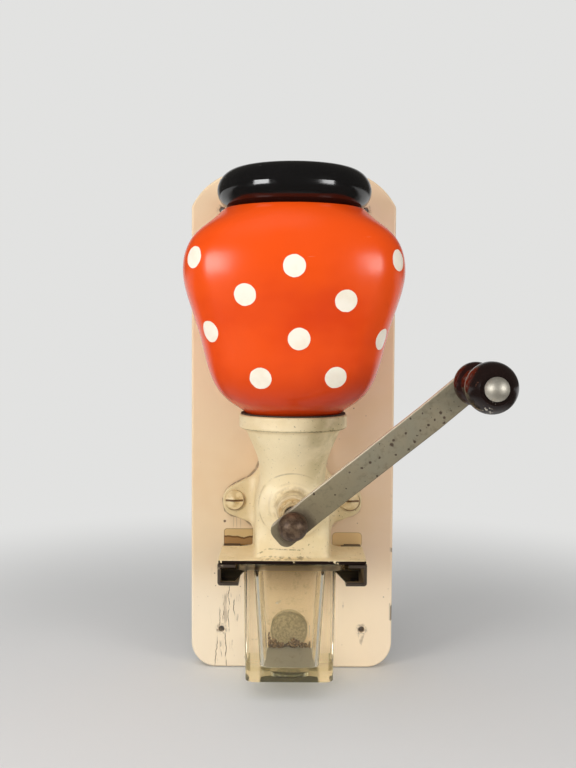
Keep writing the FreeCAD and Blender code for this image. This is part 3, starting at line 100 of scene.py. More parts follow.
def openTree(owner):
    global tree
    owner.use_nodes = True
    tree = owner.node_tree
    for old in list(tree.nodes):
        tree.nodes.remove(old)


# Adds a node; an input is either a number, a tone or another node's socket.
def put(kind, inputs=None, **settings):
    made = tree.nodes.new("ShaderNode" + kind)
    for name, value in settings.items():
        setattr(made, name, value)
    for name, value in (inputs or {}).items():
        if isinstance(value, bpy.types.NodeSocket):
            tree.links.new(value, made.inputs[name])
        else:
            made.inputs[name].default_value = value
    return made


# A new material, its principled shader and the place of each point on the piece.
def newMaterial(name):
    material = bpy.data.materials.new(name)
    openTree(material)
    out = put("OutputMaterial")
    shader = put("BsdfPrincipled")
    tree.links.new(shader.outputs["BSDF"], out.inputs["Surface"])
    return material, shader, put("TexCoord").outputs["Object"]


def axes(vector):
    split = put("SeparateXYZ", {0: vector})
    return split.outputs["X"], split.outputs["Y"], split.outputs["Z"]


def moved(vector, shift=(0, 0, 0), turn=(0, 0, 0), scale=(1, 1, 1)):
    inputs = {"Vector": vector, "Location": shift, "Rotation": turn, "Scale": scale}
    return put("Mapping", inputs).outputs["Vector"]


def noise(vector, scale, detail=4.0, rough=0.55, warp=0.0):
    inputs = {"Vector": vector, "Scale": scale, "Detail": detail, "Roughness": rough,
              "Distortion": warp}
    return put("TexNoise", inputs).outputs["Fac"]


def spots(vector, scale):
    return put("TexVoronoi", {"Vector": vector, "Scale": scale}).outputs["Distance"]


def calc(kind, a, b=0.0):
    return put("Math", {0: a, 1: b}, operation=kind).outputs[0]


def plus(a, b):
    return calc("ADD", a, b)


def minus(a, b):
    return calc("SUBTRACT", a, b)


def times(a, b):
    return calc("MULTIPLY", a, b)


def absolute(a):
    return calc("ABSOLUTE", a)


def diagonal(a, b):
    return calc("SQRT", plus(calc("POWER", a, 2.0), calc("POWER", b, 2.0)))


# Turns a noise into an even swing to both sides of zero.
def swing(value, reach):
    return times(minus(value, 0.5), reach)


def chain(kind, values):
    result = values[0]
    for value in values[1:]:
        result = calc(kind, result, value)
    return result


def both(*masks):
    return chain("MULTIPLY", masks)


def either(*masks):
    return chain("MAXIMUM", masks)


def lowest(*gaps):
    return chain("MINIMUM", gaps)


# 0 below low, 1 above high, smooth between; swap low and high for the opposite.
def step(value, low, high):
    inputs = {"Value": value, "From Min": low, "From Max": high}
    return put("MapRange", inputs, interpolation_type="SMOOTHSTEP").outputs["Result"]


# 1 where the value lies between low and high, with a soft edge.
def band(value, low, high, soft):
    return both(step(value, low - soft, low + soft), step(value, high + soft, high - soft))


def between(amount, first, second):
    inputs = {"Value": amount, "To Min": first, "To Max": second}
    return put("MapRange", inputs).outputs["Result"]


def mix(amount, first, second):
    tones = [tone if isinstance(tone, bpy.types.NodeSocket) else (*tone, 1.0)
             for tone in (first, second)]
    inputs = {0: amount, 6: tones[0], 7: tones[1]}
    return put("Mix", inputs, data_type="RGBA").outputs[2]


# Lays tones over a base, each one where its mask is, the later ones on top.
def layers(base, *coats):
    for mask, tone in coats:
        base = mix(mask, base, tone)
    return base


def lineIn(socket, shader, name):
    tree.links.new(socket, shader.inputs[name])


# How every material ends: its colour, its roughness and its bump.
def wire(shader, colour, rough, height, strength, distance):
    lineIn(colour, shader, "Base Color")
    lineIn(rough, shader, "Roughness")
    bump = put("Bump", {"Height": height, "Strength": strength, "Distance": distance})
    lineIn(bump.outputs["Normal"], shader, "Normal")


def fromPoint(vector, point):
    return put("VectorMath", {0: vector, 1: point}, operation="DISTANCE").outputs["Value"]


# Distance of the surface from a line along Y through (x, z).
def fromLine(vector, x, z):
    flat = moved(vector, shift=(-x, 0, -z), scale=(1, 0, 1))
    return put("VectorMath", {0: flat}, operation="LENGTH").outputs["Value"]


# Distance outside a rounded box in the XZ plane; below zero inside it.
def fromBox(x, z, box, corner):
    reach = []
    for value, low, high in ((x, box[0], box[1]), (z, box[2], box[3])):
        away = absolute(minus(value, (low + high) / 2))
        reach.append(minus(away, (high - low) / 2 - corner))
    outside = diagonal(calc("MAXIMUM", reach[0], 0.0), calc("MAXIMUM", reach[1], 0.0))
    inside = calc("MINIMUM", calc("MAXIMUM", reach[0], reach[1]), 0.0)
    return minus(plus(outside, inside), corner)


# Distance from a straight line between two points in the XZ plane.
def fromSegment(x, z, start, end):
    deltaX, deltaZ = end[0] - start[0], end[1] - start[1]
    length2 = deltaX ** 2 + deltaZ ** 2
    sideX, sideZ = minus(x, start[0]), minus(z, start[1])
    share = plus(times(sideX, deltaX / length2), times(sideZ, deltaZ / length2))
    share = put("Clamp", {"Value": share}).outputs[0]
    return diagonal(minus(sideX, times(share, deltaX)), minus(sideZ, times(share, deltaZ)))


wave = {"swayScale": 90.0, "widthScale": 130.0, "edge": (1.25, 0.75), "fade": 0.002}


# A wavy upright line near a place across, thicker and thinner along its length.
def wavyLine(here, across, along, middle, low, high, width, sway):
    only = moved(here, shift=(middle * wave["swayScale"], 0, 0), scale=(0, 0, 1))
    drift = swing(noise(only, wave["swayScale"]), sway)
    away = absolute(minus(across, plus(drift, middle)))
    other = moved(only, shift=(9, 2, 5))
    thick = times(noise(other, wave["widthScale"], detail=3.0), width)
    line = step(calc("DIVIDE", away, thick), *wave["edge"])
    return both(line, band(along, low, high, wave["fade"]))


# In these dictionaries a pair of places says where a mask starts and where it is full,
# and a third number is the softness of a band's ends.
boardPaint = {
    "left": (0.84, 0.65, 0.42),
    "right": (0.82, 0.61, 0.42),
    "warm": (0.80, 0.58, 0.35),
    # Paler tones low on the board, most on the right: painted light.
    "foot": (0.88, 0.74, 0.55),
    "litRightFoot": (0.97, 0.79, 0.57),
    "crack": (0.16, 0.10, 0.06),
    "chip": (0.22, 0.17, 0.11),
    "toRight": (-0.05, 0.06),
    "toFoot": (-0.085, -0.135),
    "face": (-0.0150, -0.0156),
    "back": (-0.0008, -0.0004),
    # Each crack: place across, its lower and upper end, width and sway.
    "cracks": (
        (-0.0512, -0.1470, -0.1330, 0.00045, 0.004), (-0.0409, -0.1380, -0.1265, 0.00045, 0.004),
        (-0.0530, -0.1675, -0.1530, 0.00050, 0.005), (-0.0472, -0.1685, -0.1500, 0.00060, 0.005),
        (-0.0500, -0.1680, -0.1580, 0.00045, 0.004), (-0.0545, -0.1745, -0.1660, 0.00050, 0.004),
        (-0.0466, -0.1755, -0.1705, 0.00050, 0.003), (-0.0487, -0.1420, -0.1250, 0.00040, 0.004),
        (-0.0448, -0.1500, -0.1160, 0.00040, 0.005), (0.0367, -0.1322, -0.1296, 0.00060, 0.001),
    ),
    "oldStain": (-0.0474, -0.1450, -0.1240, 0.0022, 0.003),
    "hairAcross": (-0.0570, -0.0370, 0.002),
    "hairAlong": (-0.1740, -0.1020, 0.006),
    "holeSpacing": (0.100, 0.297),
    "holeDirt": (0.0052, 0.0024),
    # The run under the right foot hole: its place across, its tip, slope and ends.
    "run": {"middle": 0.0497, "tip": -0.1615, "slope": 0.26, "ends": (-0.1610, -0.1525, 0.001)},
    "dot": (-0.0478, -0.0160, -0.0708),
    # The casting's outline on the board.
    "seam": (
        (0.0232, -0.0140), (0.0232, -0.0270), (0.0258, -0.0333), (0.0304, -0.0384),
        (0.0412, -0.0441), (0.0466, -0.0487), (0.0489, -0.0550), (0.0474, -0.0632),
        (0.0430, -0.0665), (0.0345, -0.0682), (0.0298, -0.0727), (0.0280, -0.0760),
    ),
    "seamWidth": (0.0012, 0.0005),
    "drips": (-0.0416, -0.0394, -0.0366),
    "dripShape": (-0.0750, -0.0600, 0.0007, 0.0008),
    "edge": (0.0690, 0.0712),
    # Old paint edges behind the shelf: the bare wood's box and corner, then its tones.
    "leftBare": ((-0.0484, -0.0200, -0.0888, -0.0760), 0.0022),
    "rightBare": ((0.0285, 0.0497, -0.0890, -0.0784), 0.0030),
    "leftWood": ((0.62, 0.42, 0.18), (0.72, 0.51, 0.24)),
    "rightWood": ((0.80, 0.54, 0.25), (0.74, 0.49, 0.22)),
    "backWood": ((0.36, 0.23, 0.12), (0.52, 0.37, 0.21)),
    "darkWood": (0.40, 0.21, 0.068),
    "darkBelow": (-0.0783, -0.0789),
    "woodLine": (0.16, 0.075, 0.022),
    "woodLineAt": (-0.0790, -0.0778, 0.0003),
    "rough": (0.36, 0.56),
}


def makeBoardPaint():
    values = boardPaint
    material, shader, here = newMaterial("boardPaint")
    x, y, z = axes(here)
    absX = absolute(x)
    face = step(y, *values["face"])
    toRight = step(x, *values["toRight"])
    cloud = noise(here, 14.0, detail=3.0)
    base = mix(toRight, values["left"], values["right"])
    base = mix(step(cloud, 0.45, 0.72), base, values["warm"])
    # Painted light: the board grows paler towards its foot, most on the right, as if lit more
    # strongly there.
    foot = mix(toRight, values["foot"], values["litRightFoot"])
    base = mix(step(z, *values["toFoot"]), base, foot)
    # Brush marks run up and down.
    brush = noise(moved(here, scale=(1, 1, 0.05)), 420.0, detail=3.0)
    # Cracks open along the grain, most of them below the left rail.
    crack = either(*[wavyLine(here, x, z, *line) for line in values["cracks"]])
    broken = noise(moved(here, scale=(1, 1, 0.35)), 520.0, detail=3.0)
    crack = both(crack, step(broken, 0.36, 0.52))
    stain = wavyLine(here, x, z, *values["oldStain"])
    crack = either(crack, times(stain, times(broken, 0.8)))
    # Fine hair cracks fill the rest of the left foot.
    vein = noise(moved(here, scale=(1, 1, 0.07)), 260.0, detail=2.0, warp=0.3)
    hair = step(absolute(minus(vein, 0.5)), 0.014, 0.003)
    patch = step(noise(moved(here, shift=(3, 0, 0)), 110.0), 0.46, 0.60)
    leftFoot = both(band(x, *values["hairAcross"]), band(z, *values["hairAlong"]))
    crack = either(crack, times(both(hair, patch, leftFoot), 0.55))
    crack = both(crack, face)
    # Small dark specks.
    speck = both(step(spots(here, 150.0), 0.10, 0.05), step(noise(here, 30.0), 0.52, 0.62))
    # Dirt round the four wall-screw holes, with a short run below the right one.
    halfX, halfZ = values["holeSpacing"][0] / 2, values["holeSpacing"][1] / 2
    rings = either(*[step(fromLine(here, sideX, sideZ), *values["holeDirt"])
                     for sideX in (-halfX, halfX) for sideZ in (-halfZ, halfZ)])
    rings = both(rings, step(noise(here, 600.0), 0.35, 0.75))
    run = values["run"]
    taper = times(plus(z, -run["tip"]), run["slope"])
    beside = minus(absolute(minus(x, run["middle"])), taper)
    run = both(step(beside, 0.0004, -0.0004), band(z, *run["ends"]))
    dirt = either(rings, both(run, times(step(broken, 0.34, 0.56), 0.50)),
                  step(fromPoint(here, values["dot"]), 0.0012, 0.0005))
    # A brown line follows the casting's outline, mostly on the left.
    seamGap = lowest(*[fromSegment(absX, z, start, end)
                       for start, end in zip(values["seam"], values["seam"][1:])])
    seam = both(step(seamGap, *values["seamWidth"]), step(noise(here, 130.0), 0.34, 0.52),
                between(step(x, 0.01, -0.01), 0.22, 0.60))
    # Thin runs of old paint under the left ear.
    drips = either(*[wavyLine(here, x, z, middle, *values["dripShape"])
                     for middle in values["drips"]])
    dirt = either(dirt, both(seam, face), times(drips, 0.22))
    marks = either(crack, times(speck, 0.7), dirt)
    base = mix(marks, base, values["crack"])
    # Worn corners and chips, more of them low on the right edge.
    chip = both(step(absX, *values["edge"]), step(z, -0.02, -0.12), step(x, -0.02, 0.02),
                step(y, -0.0120, -0.0140), step(noise(here, 90.0, detail=6.0), 0.56, 0.60))
    base = mix(chip, base, values["chip"])
    # Bare wood where the paint stops behind the shelf.
    grain = noise(moved(here, scale=(0.10, 1, 1)), 300.0, detail=5.0, warp=0.6)
    leftGap = fromBox(x, z, *values["leftBare"])
    rightGap = fromBox(x, z, *values["rightBare"])
    ragged = plus(z, times(noise(moved(here, scale=(1, 0, 0)), 70.0), 0.007))
    line = values["woodLine"]
    leftWood = layers(mix(grain, *values["leftWood"]),
                      (step(ragged, *values["darkBelow"]), values["darkWood"]),
                      (band(ragged, *values["woodLineAt"]), line),
                      (times(step(leftGap, -0.0008, -0.0002), 0.6), line))
    rightWood = layers(mix(grain, *values["rightWood"]),
                       (times(step(rightGap, -0.0006, -0.0001), 0.5), line))
    leftBare = both(step(leftGap, 0.0002, -0.0002), face)
    rightBare = both(step(rightGap, 0.0002, -0.0002), face)
    # The back was never painted.
    backGrain = noise(moved(here, scale=(1, 1, 0.06)), 260.0, detail=5.0, warp=0.5)
    base = layers(base, (leftBare, leftWood), (rightBare, rightWood),
                  (step(y, *values["back"]), mix(backGrain, *values["backWood"])))
    rough = calc("MAXIMUM", between(brush, *values["rough"]),
                 times(either(leftBare, rightBare), 0.8))
    height = minus(times(brush, 0.25), times(marks, 0.8))
    wire(shader, base, rough, plus(height, times(cloud, 0.5)), 0.35, 0.0006)
    return material


castingPaint = {
    "cream": (0.80, 0.64, 0.37),
    "pale": (0.85, 0.70, 0.44),
    "litPale": (0.93, 0.78, 0.50),
    "olive": (0.60, 0.48, 0.25),
    "speck": (0.16, 0.12, 0.055),
    "stain": (0.24, 0.14, 0.055),
    "edge": (0.012, 0.0045, 0.0028),
    "litAcross": (-0.016, 0.008, 0.007),
    "litAlong": (-0.040, 0.004, 0.008),
    "dot": (-0.0104, -0.0770, -0.0291),
    # Dirt circles round the nose: radius, half width and strength.
    "circles": ((0.0219, 0.00045, 0.45), (0.0152, 0.0007, 0.16), (0.0105, 0.00045, 0.55)),
    "collarFoot": 0.0028,
    "shelfTop": -0.0829,
    "chamberFront": (-0.060, -0.064),
    "noseFront": (-0.0700, -0.0745),
    "bossSide": (-0.080, -0.083),
    "bossFace": (-0.0950, -0.0990),
    "bossShadeBand": (0.0098, 0.0132, 0.0014),
    # Dark lines at the chamber's foot: start, end and half width.
    "lines": (
        ((-0.0222, -0.0806), (-0.0168, -0.0773), 0.00065),
        ((-0.0168, -0.0770), (0.0050, -0.0778), 0.00055),
    ),
    "boardSeam": (-0.0185, -0.0172),
    "shelfEdge": ((-0.0809, -0.0813), (-0.0831, -0.0834)),
    "shelfBelow": (-0.0852, -0.0855),
}


def makeCastingPaint():
    values = castingPaint
    material, shader, here = newMaterial("castingPaint")
    x, y, z = axes(here)
    lumps = noise(here, 95.0)
    fine = noise(here, 520.0, detail=3.0)
    base = mix(step(lumps, 0.35, 0.68), values["cream"], values["pale"])
    # Painted light: the middle of the neck and nose is paler, as where light falls full on it.
    centre = both(band(x, *values["litAcross"]), band(z, *values["litAlong"]))
    # An olive wash in clouds, heavier on the right of the neck: uneven paint, with painted shade
    # on the side turned from the light.
    oliveWashAndShade = both(step(noise(moved(here, shift=(7, 2, 0)), 60.0, detail=5.0), 0.36, 0.62),
                between(step(z, -0.045, -0.020), 0.30, 1.0),
                between(step(x, 0.002, 0.018), 0.06, 1.0))
    ears = both(step(absolute(x), 0.029, 0.034), step(y, -0.030, -0.024))
    base = layers(base, (centre, values["litPale"]), (oliveWashAndShade, values["olive"]),
                  (times(ears, 0.42), values["olive"]))
    # Specks where the iron shows through, thicker on the right of the neck.
    fleck = noise(here, 620.0, detail=2.0, rough=0.7)
    speck = both(step(fleck, 0.655, 0.700), step(noise(here, 45.0), 0.72, 0.44),
                 between(step(x, -0.01, 0.025), 0.35, 1.0))
    speck = either(speck, step(fromPoint(here, values["dot"]), 0.0014, 0.0006))
    # A dirt line under the collar and along the foot of the chamber.
    collarFoot, shelfTop = values["collarFoot"], values["shelfTop"]
    front = step(y, *values["chamberFront"])
    ragged = plus(z, swing(fine, 0.0016))
    under = both(band(ragged, collarFoot - 0.0007, collarFoot, 0.0002),
                 between(step(x, 0.0, 0.02), 0.45, 0.9))
    foot = both(band(ragged, shelfTop - 0.0002, shelfTop + 0.0012, 0.0004),
                band(x, -0.021, 0.010, 0.003), front, step(noise(here, 300.0), 0.46, 0.60))
    lines = either(*[step(fromSegment(x, z, start, end), half, 0.0002)
                     for start, end, half in values["lines"]])
    lines = both(lines, front, step(fine, 0.42, 0.55))
    foot = either(times(foot, 0.7), times(lines, 0.6))
    marks = either(speck, under, foot)
    base = mix(marks, base, values["speck"])
    # Faint dirt circles where the nose steps in; painted shade on the boss's side, which faces up
    # under the hopper, and a browner boss face.
    ring = fromLine(here, 0.0, shaftHeight)
    uneven = noise(here, 120.0)
    nose = step(y, *values["noseFront"])
    for radius, half, strength in values["circles"]:
        circle = both(band(ring, radius - half, radius + half, 0.0004), nose,
                      step(uneven, 0.36, 0.62), between(step(x, 0.012, -0.004), 0.35, 1.0))
        base = mix(times(circle, strength), base, values["stain"])
    # Painted shade on the boss's side under the hopper.
    boss = both(band(ring, *values["bossShadeBand"]), step(y, *values["bossSide"]),
                step(noise(here, 170.0), 0.38, 0.62))
    face = both(step(ring, 0.0104, 0.0098), step(y, *values["bossFace"]))
    # Darker where the casting meets the board.
    seam = both(step(y, *values["boardSeam"]), step(uneven, 0.30, 0.50),
                between(step(x, 0.020, -0.010), 0.45, 0.85))
    # The shelf's front edge and underside are dark brown.
    edgeY, edgeZ = values["shelfEdge"]
    edge = either(both(step(y, *edgeY), step(z, *edgeZ)), step(z, *values["shelfBelow"]))
    chipped = step(noise(moved(here, shift=(1, 4, 2)), 260.0), 0.70, 0.66)
    dark = both(edge, chipped)
    base = layers(base, (times(boss, 0.45), values["stain"]), (times(face, 0.34), values["stain"]),
                  (seam, values["stain"]), (dark, values["edge"]))
    lineIn(between(dark, 0.5, 0.12), shader, "Specular IOR Level")
    rough = plus(between(lumps, 0.34, 0.52), times(marks, 0.3))
    height = minus(plus(lumps, times(fine, 0.3)), times(marks, 0.35))
    wire(shader, base, rough, height, 0.55, 0.0011)
    return material


screwPaint = {
    "cream": (0.80, 0.64, 0.37),
    "worn": (0.64, 0.48, 0.24),
    "filled": (0.16, 0.080, 0.028),
    "spacing": 0.0812,
    "height": -0.0546,
    "slot": 0.00085,
    "slotTop": (-0.0228, -0.0232),
    "slotEnds": (0.0067, 0.0058),
    "head": 0.0072,
}


def makeScrewPaint():
    values = screwPaint
    material, shader, here = newMaterial("screwPaint")
    x, y, z = axes(here)
    half, slot, head = values["spacing"] / 2, values["slot"], values["head"]
    cloud = noise(here, 260.0, detail=5.0)
    base = mix(step(cloud, 0.40, 0.65), values["cream"], values["worn"])
    above = minus(z, values["height"])
    level = absolute(above)
    away = diagonal(minus(absolute(x), half), level)
    filled = both(step(level, slot, slot * 0.7), step(y, *values["slotTop"]),
                  step(away, *values["slotEnds"]))
    # The heads' rims are darker along their lower right.
    aside = minus(x, times(calc("SIGN", x), half))
    lean = minus(times(aside, 0.8), above)
    rim = both(step(away, head - 0.0012, head - 0.0004),
               between(step(lean, -0.0015, 0.0050), 0.12, 1.0))
    base = mix(either(filled, times(rim, 0.85)), base, values["filled"])
    wire(shader, base, between(cloud, 0.36, 0.55), cloud, 0.35, 0.0006)
    return material


bushPaint = {
    "tan": (0.72, 0.54, 0.29),
    "dull": (0.50, 0.34, 0.15),
    "grime": (0.14, 0.070, 0.026),
    "bore": (0.0062, 0.0052),
    "notchOut": (0.0073, 0.0069),
    "notchIn": (0.0064, 0.0067),
    "nutFront": (-0.1035, -0.1042),
}


# Cream paint that has gone over the bush, washer and nut, and browned in the gaps.
def makeTanPaint():
    values = bushPaint
    material, shader, here = newMaterial("tanPaint")
    y = axes(here)[1]
    cloud = noise(here, 210.0, detail=5.0)
    base = mix(step(cloud, 0.38, 0.64), values["tan"], values["dull"])
    ring = fromLine(here, 0.0, shaftHeight)
    notch = both(step(ring, *values["notchOut"]), step(ring, *values["notchIn"]),
                 step(y, *values["nutFront"]))
    grime = either(step(ring, *values["bore"]), times(notch, 0.35))
    base = mix(times(grime, 0.8), base, values["grime"])
    wire(shader, base, between(cloud, 0.38, 0.60), cloud, 0.35, 0.0005)
    return material


hopperGlaze = {
    "orange": (0.82, 0.078, 0.005),
    "deep": (0.70, 0.050, 0.003),
    "foot": (0.52, 0.034, 0.003),
    "cream": (0.93, 0.86, 0.73),
    "dullCream": (0.88, 0.79, 0.64),
    "scuff": (0.9, 0.5, 0.35),
    "footShade": (0.048, 0.014),
    "scuffAt": (0.100, 0.125, 0.006),
    "shine": 0.36,
    "axisDepth": 0.0767,
    "outside": 0.15,
    "dotRadius": 0.0066,
    "dotShake": 0.0007,
    # Each row of dots: its height and their angles round the hopper.
    "rows": (
        (0.1073, (-54.6,)), (0.1013, (0.0,)), (0.1063, (57.6,)),
        (0.1040, (114.0, 176.0, -119.0)),
        (0.0848, (-28.0,)), (0.0815, (29.8,)), (0.0830, (88.0, 148.0, -151.0, -87.0)),
        (0.0633, (-51.6,)), (0.0592, (3.3, 57.6)), (0.0610, (118.0, 177.0, -113.0)),
        (0.0357, (-23.1,)), (0.0364, (29.0,)), (0.0360, (87.0, 149.0, -150.0, -84.0)),
    ),
}


# The dots' centres, where rays towards the hopper's axis meet its outside.
def dotCentres():
    values = hopperGlaze
    centres = []
    for height, angles in values["rows"]:
        for angle in angles:
            away = Vector((sin(radians(angle)), -cos(radians(angle)), 0))
            start = Vector((0, -values["axisDepth"], height)) + away * values["outside"]
            hit, spot = nodes["hopper"].ray_cast(start, -away)[:2]
            if hit:
                centres.append(spot)
    return centres


def makeHopperGlaze():
    values = hopperGlaze
    material, shader, here = newMaterial("hopperGlaze")
    z = axes(here)[2]
    # Hand-painted dots are a little uneven at their edges.
    shake = put("TexNoise", {"Vector": here, "Scale": 260.0, "Detail": 2.0}).outputs["Color"]
    shake = put("VectorMath", {0: shake, 1: (0.5, 0.5, 0.5)}, operation="SUBTRACT").outputs[0]
    shake = put("VectorMath", {0: shake, "Scale": values["dotShake"]}, operation="SCALE")
    near = put("VectorMath", {0: here, 1: shake.outputs[0]}, operation="ADD").outputs[0]
    gap = lowest(*[fromPoint(near, spot) for spot in dotCentres()])
    radius = values["dotRadius"]
    dots = step(gap, radius + 0.00015, radius - 0.00015)
    rim = both(step(gap, radius + 0.0007, radius + 0.0002), step(gap, radius - 0.0002, radius))
    # Painted shade darkens the glaze towards the foot; broad clouds darken it too.
    cloud = noise(moved(here, scale=(1, 1, 1.6)), 13.0, detail=3.0)
    base = mix(step(cloud, 0.42, 0.75), values["orange"], values["deep"])
    dotTone = mix(step(noise(here, 90.0), 0.4, 0.7), values["cream"], values["dullCream"])
    scratch = noise(moved(here, scale=(0.12, 0.12, 1)), 700.0, detail=2.0)
    scuff = both(step(scratch, 0.70, 0.80), band(z, *values["scuffAt"]),
                 step(noise(here, 24.0), 0.5, 0.65))
    # Painted shade low on the hopper.
    base = layers(base, (times(step(z, *values["footShade"]), 0.8), values["foot"]),
                  (times(rim, 0.5), values["deep"]), (dots, dotTone),
                  (times(scuff, 0.25), values["scuff"]))
    shader.inputs["Specular IOR Level"].default_value = values["shine"]
    wear = noise(here, 60.0, detail=5.0)
    height = plus(noise(here, 26.0, detail=2.0), times(dots, 0.12))
    height = plus(height, times(wear, 0.10))
    wire(shader, base, between(wear, 0.17, 0.30), height, 0.28, 0.0012)
    return material


lidLacquer = {
    "black": (0.0030, 0.0030, 0.0032),
    "faded": (0.0075, 0.0070, 0.0070),
    "dust": (0.22, 0.20, 0.18),
    "rough": (0.07, 0.20),
    "bend": 1.58,
}


def makeLidLacquer():
    values = lidLacquer
    material, shader, here = newMaterial("lidLacquer")
    shader.inputs["IOR"].default_value = values["bend"]
    dust = both(step(spots(here, 420.0), 0.16, 0.08), step(noise(here, 60.0), 0.55, 0.68))
    base = mix(noise(here, 22.0, detail=3.0), values["black"], values["faded"])
    base = mix(times(dust, 0.35), base, values["dust"])
    smear = noise(moved(here, scale=(1, 1, 3)), 75.0, detail=5.0)
    rough = between(step(smear, 0.38, 0.62), *values["rough"])
    wire(shader, base, rough, noise(here, 60.0, detail=3.0), 0.16, 0.0012)
    return material


# Bare or plated metal with brushing along one direction and spots of rust.
metals = {
    "innerSteel": {"tone": (0.46, 0.45, 0.42), "dull": (0.30, 0.28, 0.24),
                   "rough": (0.30, 0.50), "rust": 0.12, "rustScale": 300.0},
    "capNickel": {"tone": (0.86, 0.82, 0.72), "dull": (0.60, 0.55, 0.45),
                  "rough": (0.48, 0.64), "rust": 0.13, "rustScale": 420.0},
    "bushBrass": {"tone": (0.62, 0.45, 0.18), "dull": (0.36, 0.25, 0.10),
                  "rough": (0.30, 0.46), "rust": 0.05, "rustScale": 300.0},
    "burrIron": {"tone": (0.16, 0.15, 0.14), "dull": (0.09, 0.075, 0.06),
                 "rough": (0.42, 0.62), "rust": 0.22, "rustScale": 240.0},
}
rustTone = (0.055, 0.032, 0.018)


def makeMetal(name):
    values = metals[name]
    material, shader, here = newMaterial(name)
    brush = noise(moved(here, scale=(0.06, 1, 1)), 900.0, detail=3.0)
    cloud = noise(here, 55.0, detail=5.0)
    rust = values["rust"]
    pit = both(step(spots(here, values["rustScale"]), rust, rust * 0.6),
               step(noise(moved(here, shift=(5, 1, 3)), 95.0), 0.50, 0.60))
    base = mix(step(cloud, 0.38, 0.68), values["tone"], values["dull"])
    base = layers(base, (times(brush, 0.35), values["tone"]), (pit, rustTone))
    lineIn(between(pit, 0.92, 0.15), shader, "Metallic")
    rough = plus(between(cloud, *values["rough"]), times(pit, 0.35))
    height = minus(times(brush, 0.35), times(pit, 0.8))
    wire(shader, base, rough, height, 0.30, 0.0004)
    return material


crankSteel = {
    "tone": (0.36, 0.305, 0.205),
    "cool": (0.32, 0.290, 0.205),
    "low": (0.30, 0.245, 0.140),
    "mottle": (0.17, 0.140, 0.085),
    "edge": (0.72, 0.62, 0.46),
    "shade": (0.10, 0.075, 0.045),
    "rust": (0.055, 0.032, 0.016),
    "turn": 40.3,
    "halfWidth": 0.0082,
    "toHub": (0.070, 0.015),
    "face": (-0.1400, -0.1440),
    "hub": (0.002, -0.0489),
    # Rust pits, in millimetres along and across the bar, with their radius.
    "pits": (
        (90.2, 6.5, 0.7), (83.2, 1.7, 0.8), (90.4, -2.0, 0.8), (95.8, -2.5, 0.8),
        (84.1, -5.2, 1.0), (78.8, -6.5, 0.8), (71.3, -4.4, 0.7), (63.3, -0.1, 0.8),
        (57.6, 1.0, 0.9), (52.0, 1.6, 0.8), (45.0, 3.8, 0.7), (55.6, -7.5, 0.8),
        (73.3, 1.5, 1.4), (75.4, 2.9, 0.9), (105.4, -1.4, 1.1), (105.0, -4.8, 1.0),
        (103.1, -6.9, 0.9), (21.2, 6.8, 0.8), (30.4, -1.1, 0.5), (97.3, 4.6, 0.6),
        (100.3, -2.3, 0.6), (110.3, -4.1, 0.6), (37.4, -2.1, 0.5),
    ),
}


# Dull plated bar: paler along its upper edge, worn and with a painted highlight, with painted
# shade along its lower edge; pitted, and stained near the nut.
def makeCrankSteel():
    values = crankSteel
    material, shader, here = newMaterial("crankSteel")
    level = moved(moved(here, shift=(0, 0, -shaftHeight)), turn=(0, radians(values["turn"]), 0))
    along, depth, across = axes(level)
    brush = noise(moved(level, scale=(0.06, 1, 1)), 900.0, detail=3.0)
    cloud = noise(here, 70.0, detail=6.0, rough=0.65)
    mottle = noise(here, 330.0)
    # The upper edge is painted pale, worn metal with a painted highlight; the lower edge carries
    # painted shade.
    wear = plus(across, swing(mottle, 0.0010))
    half = values["halfWidth"]
    base = layers(mix(step(cloud, 0.36, 0.66), values["tone"], values["cool"]),
                  (times(step(along, *values["toHub"]), 0.8), values["low"]),
                  (times(step(mottle, 0.50, 0.70), 0.45), values["mottle"]),
                  (times(step(wear, half - 0.0010, half - 0.0004), 0.85), values["edge"]),
                  (times(step(wear, -half + 0.0005, -half + 0.0002), 0.7), values["shade"]))
    ragged = swing(noise(here, 700.0, detail=3.0), 0.0016)
    flat = put("CombineXYZ", {0: along, 1: across}).outputs[0]
    pit = step(noise(here, 560.0, detail=2.0), 0.70, 0.74)
    for pitAlong, pitAcross, radius in values["pits"]:
        gap = plus(fromPoint(flat, (pitAlong * mm, pitAcross * mm, 0.0)), ragged)
        pit = either(pit, step(gap, radius * mm / 0.85, radius * mm / 2))
    pit = both(pit, step(depth, *values["face"]))
    hub = plus(fromLine(here, *values["hub"]), swing(cloud, 0.009))
    stain = either(times(step(hub, 0.0150, 0.0095), 0.75), times(step(hub, 0.0240, 0.0120), 0.35))
    marks = either(pit, stain)
    base = mix(marks, base, values["rust"])
    lineIn(times(between(marks, 1.0, 0.1), 0.45), shader, "Metallic")
    rough = plus(between(cloud, 0.34, 0.52), times(marks, 0.3))
    height = minus(times(brush, 0.35), times(pit, 0.9))
    wire(shader, base, rough, plus(height, times(cloud, 0.4)), 0.32, 0.0005)
    return material


railJapan = {
    "dark": (0.030, 0.020, 0.013),
    "light": (0.075, 0.052, 0.035),
    "worn": (0.44, 0.35, 0.22),
    # Paler brown for the channels' insides: painted light.
    "inside": (0.20, 0.135, 0.070),
    "wornBelow": (-0.0955, -0.0985),
    "wornFront": (-0.0790, -0.0815),
    "behind": (-0.0812, -0.0790),
    "insideHeight": (-0.0980, -0.0872, 0.0002),
    "insideFace": (0.0468, 0.0465),
    "shelf": (-0.0836, -0.0833),
}


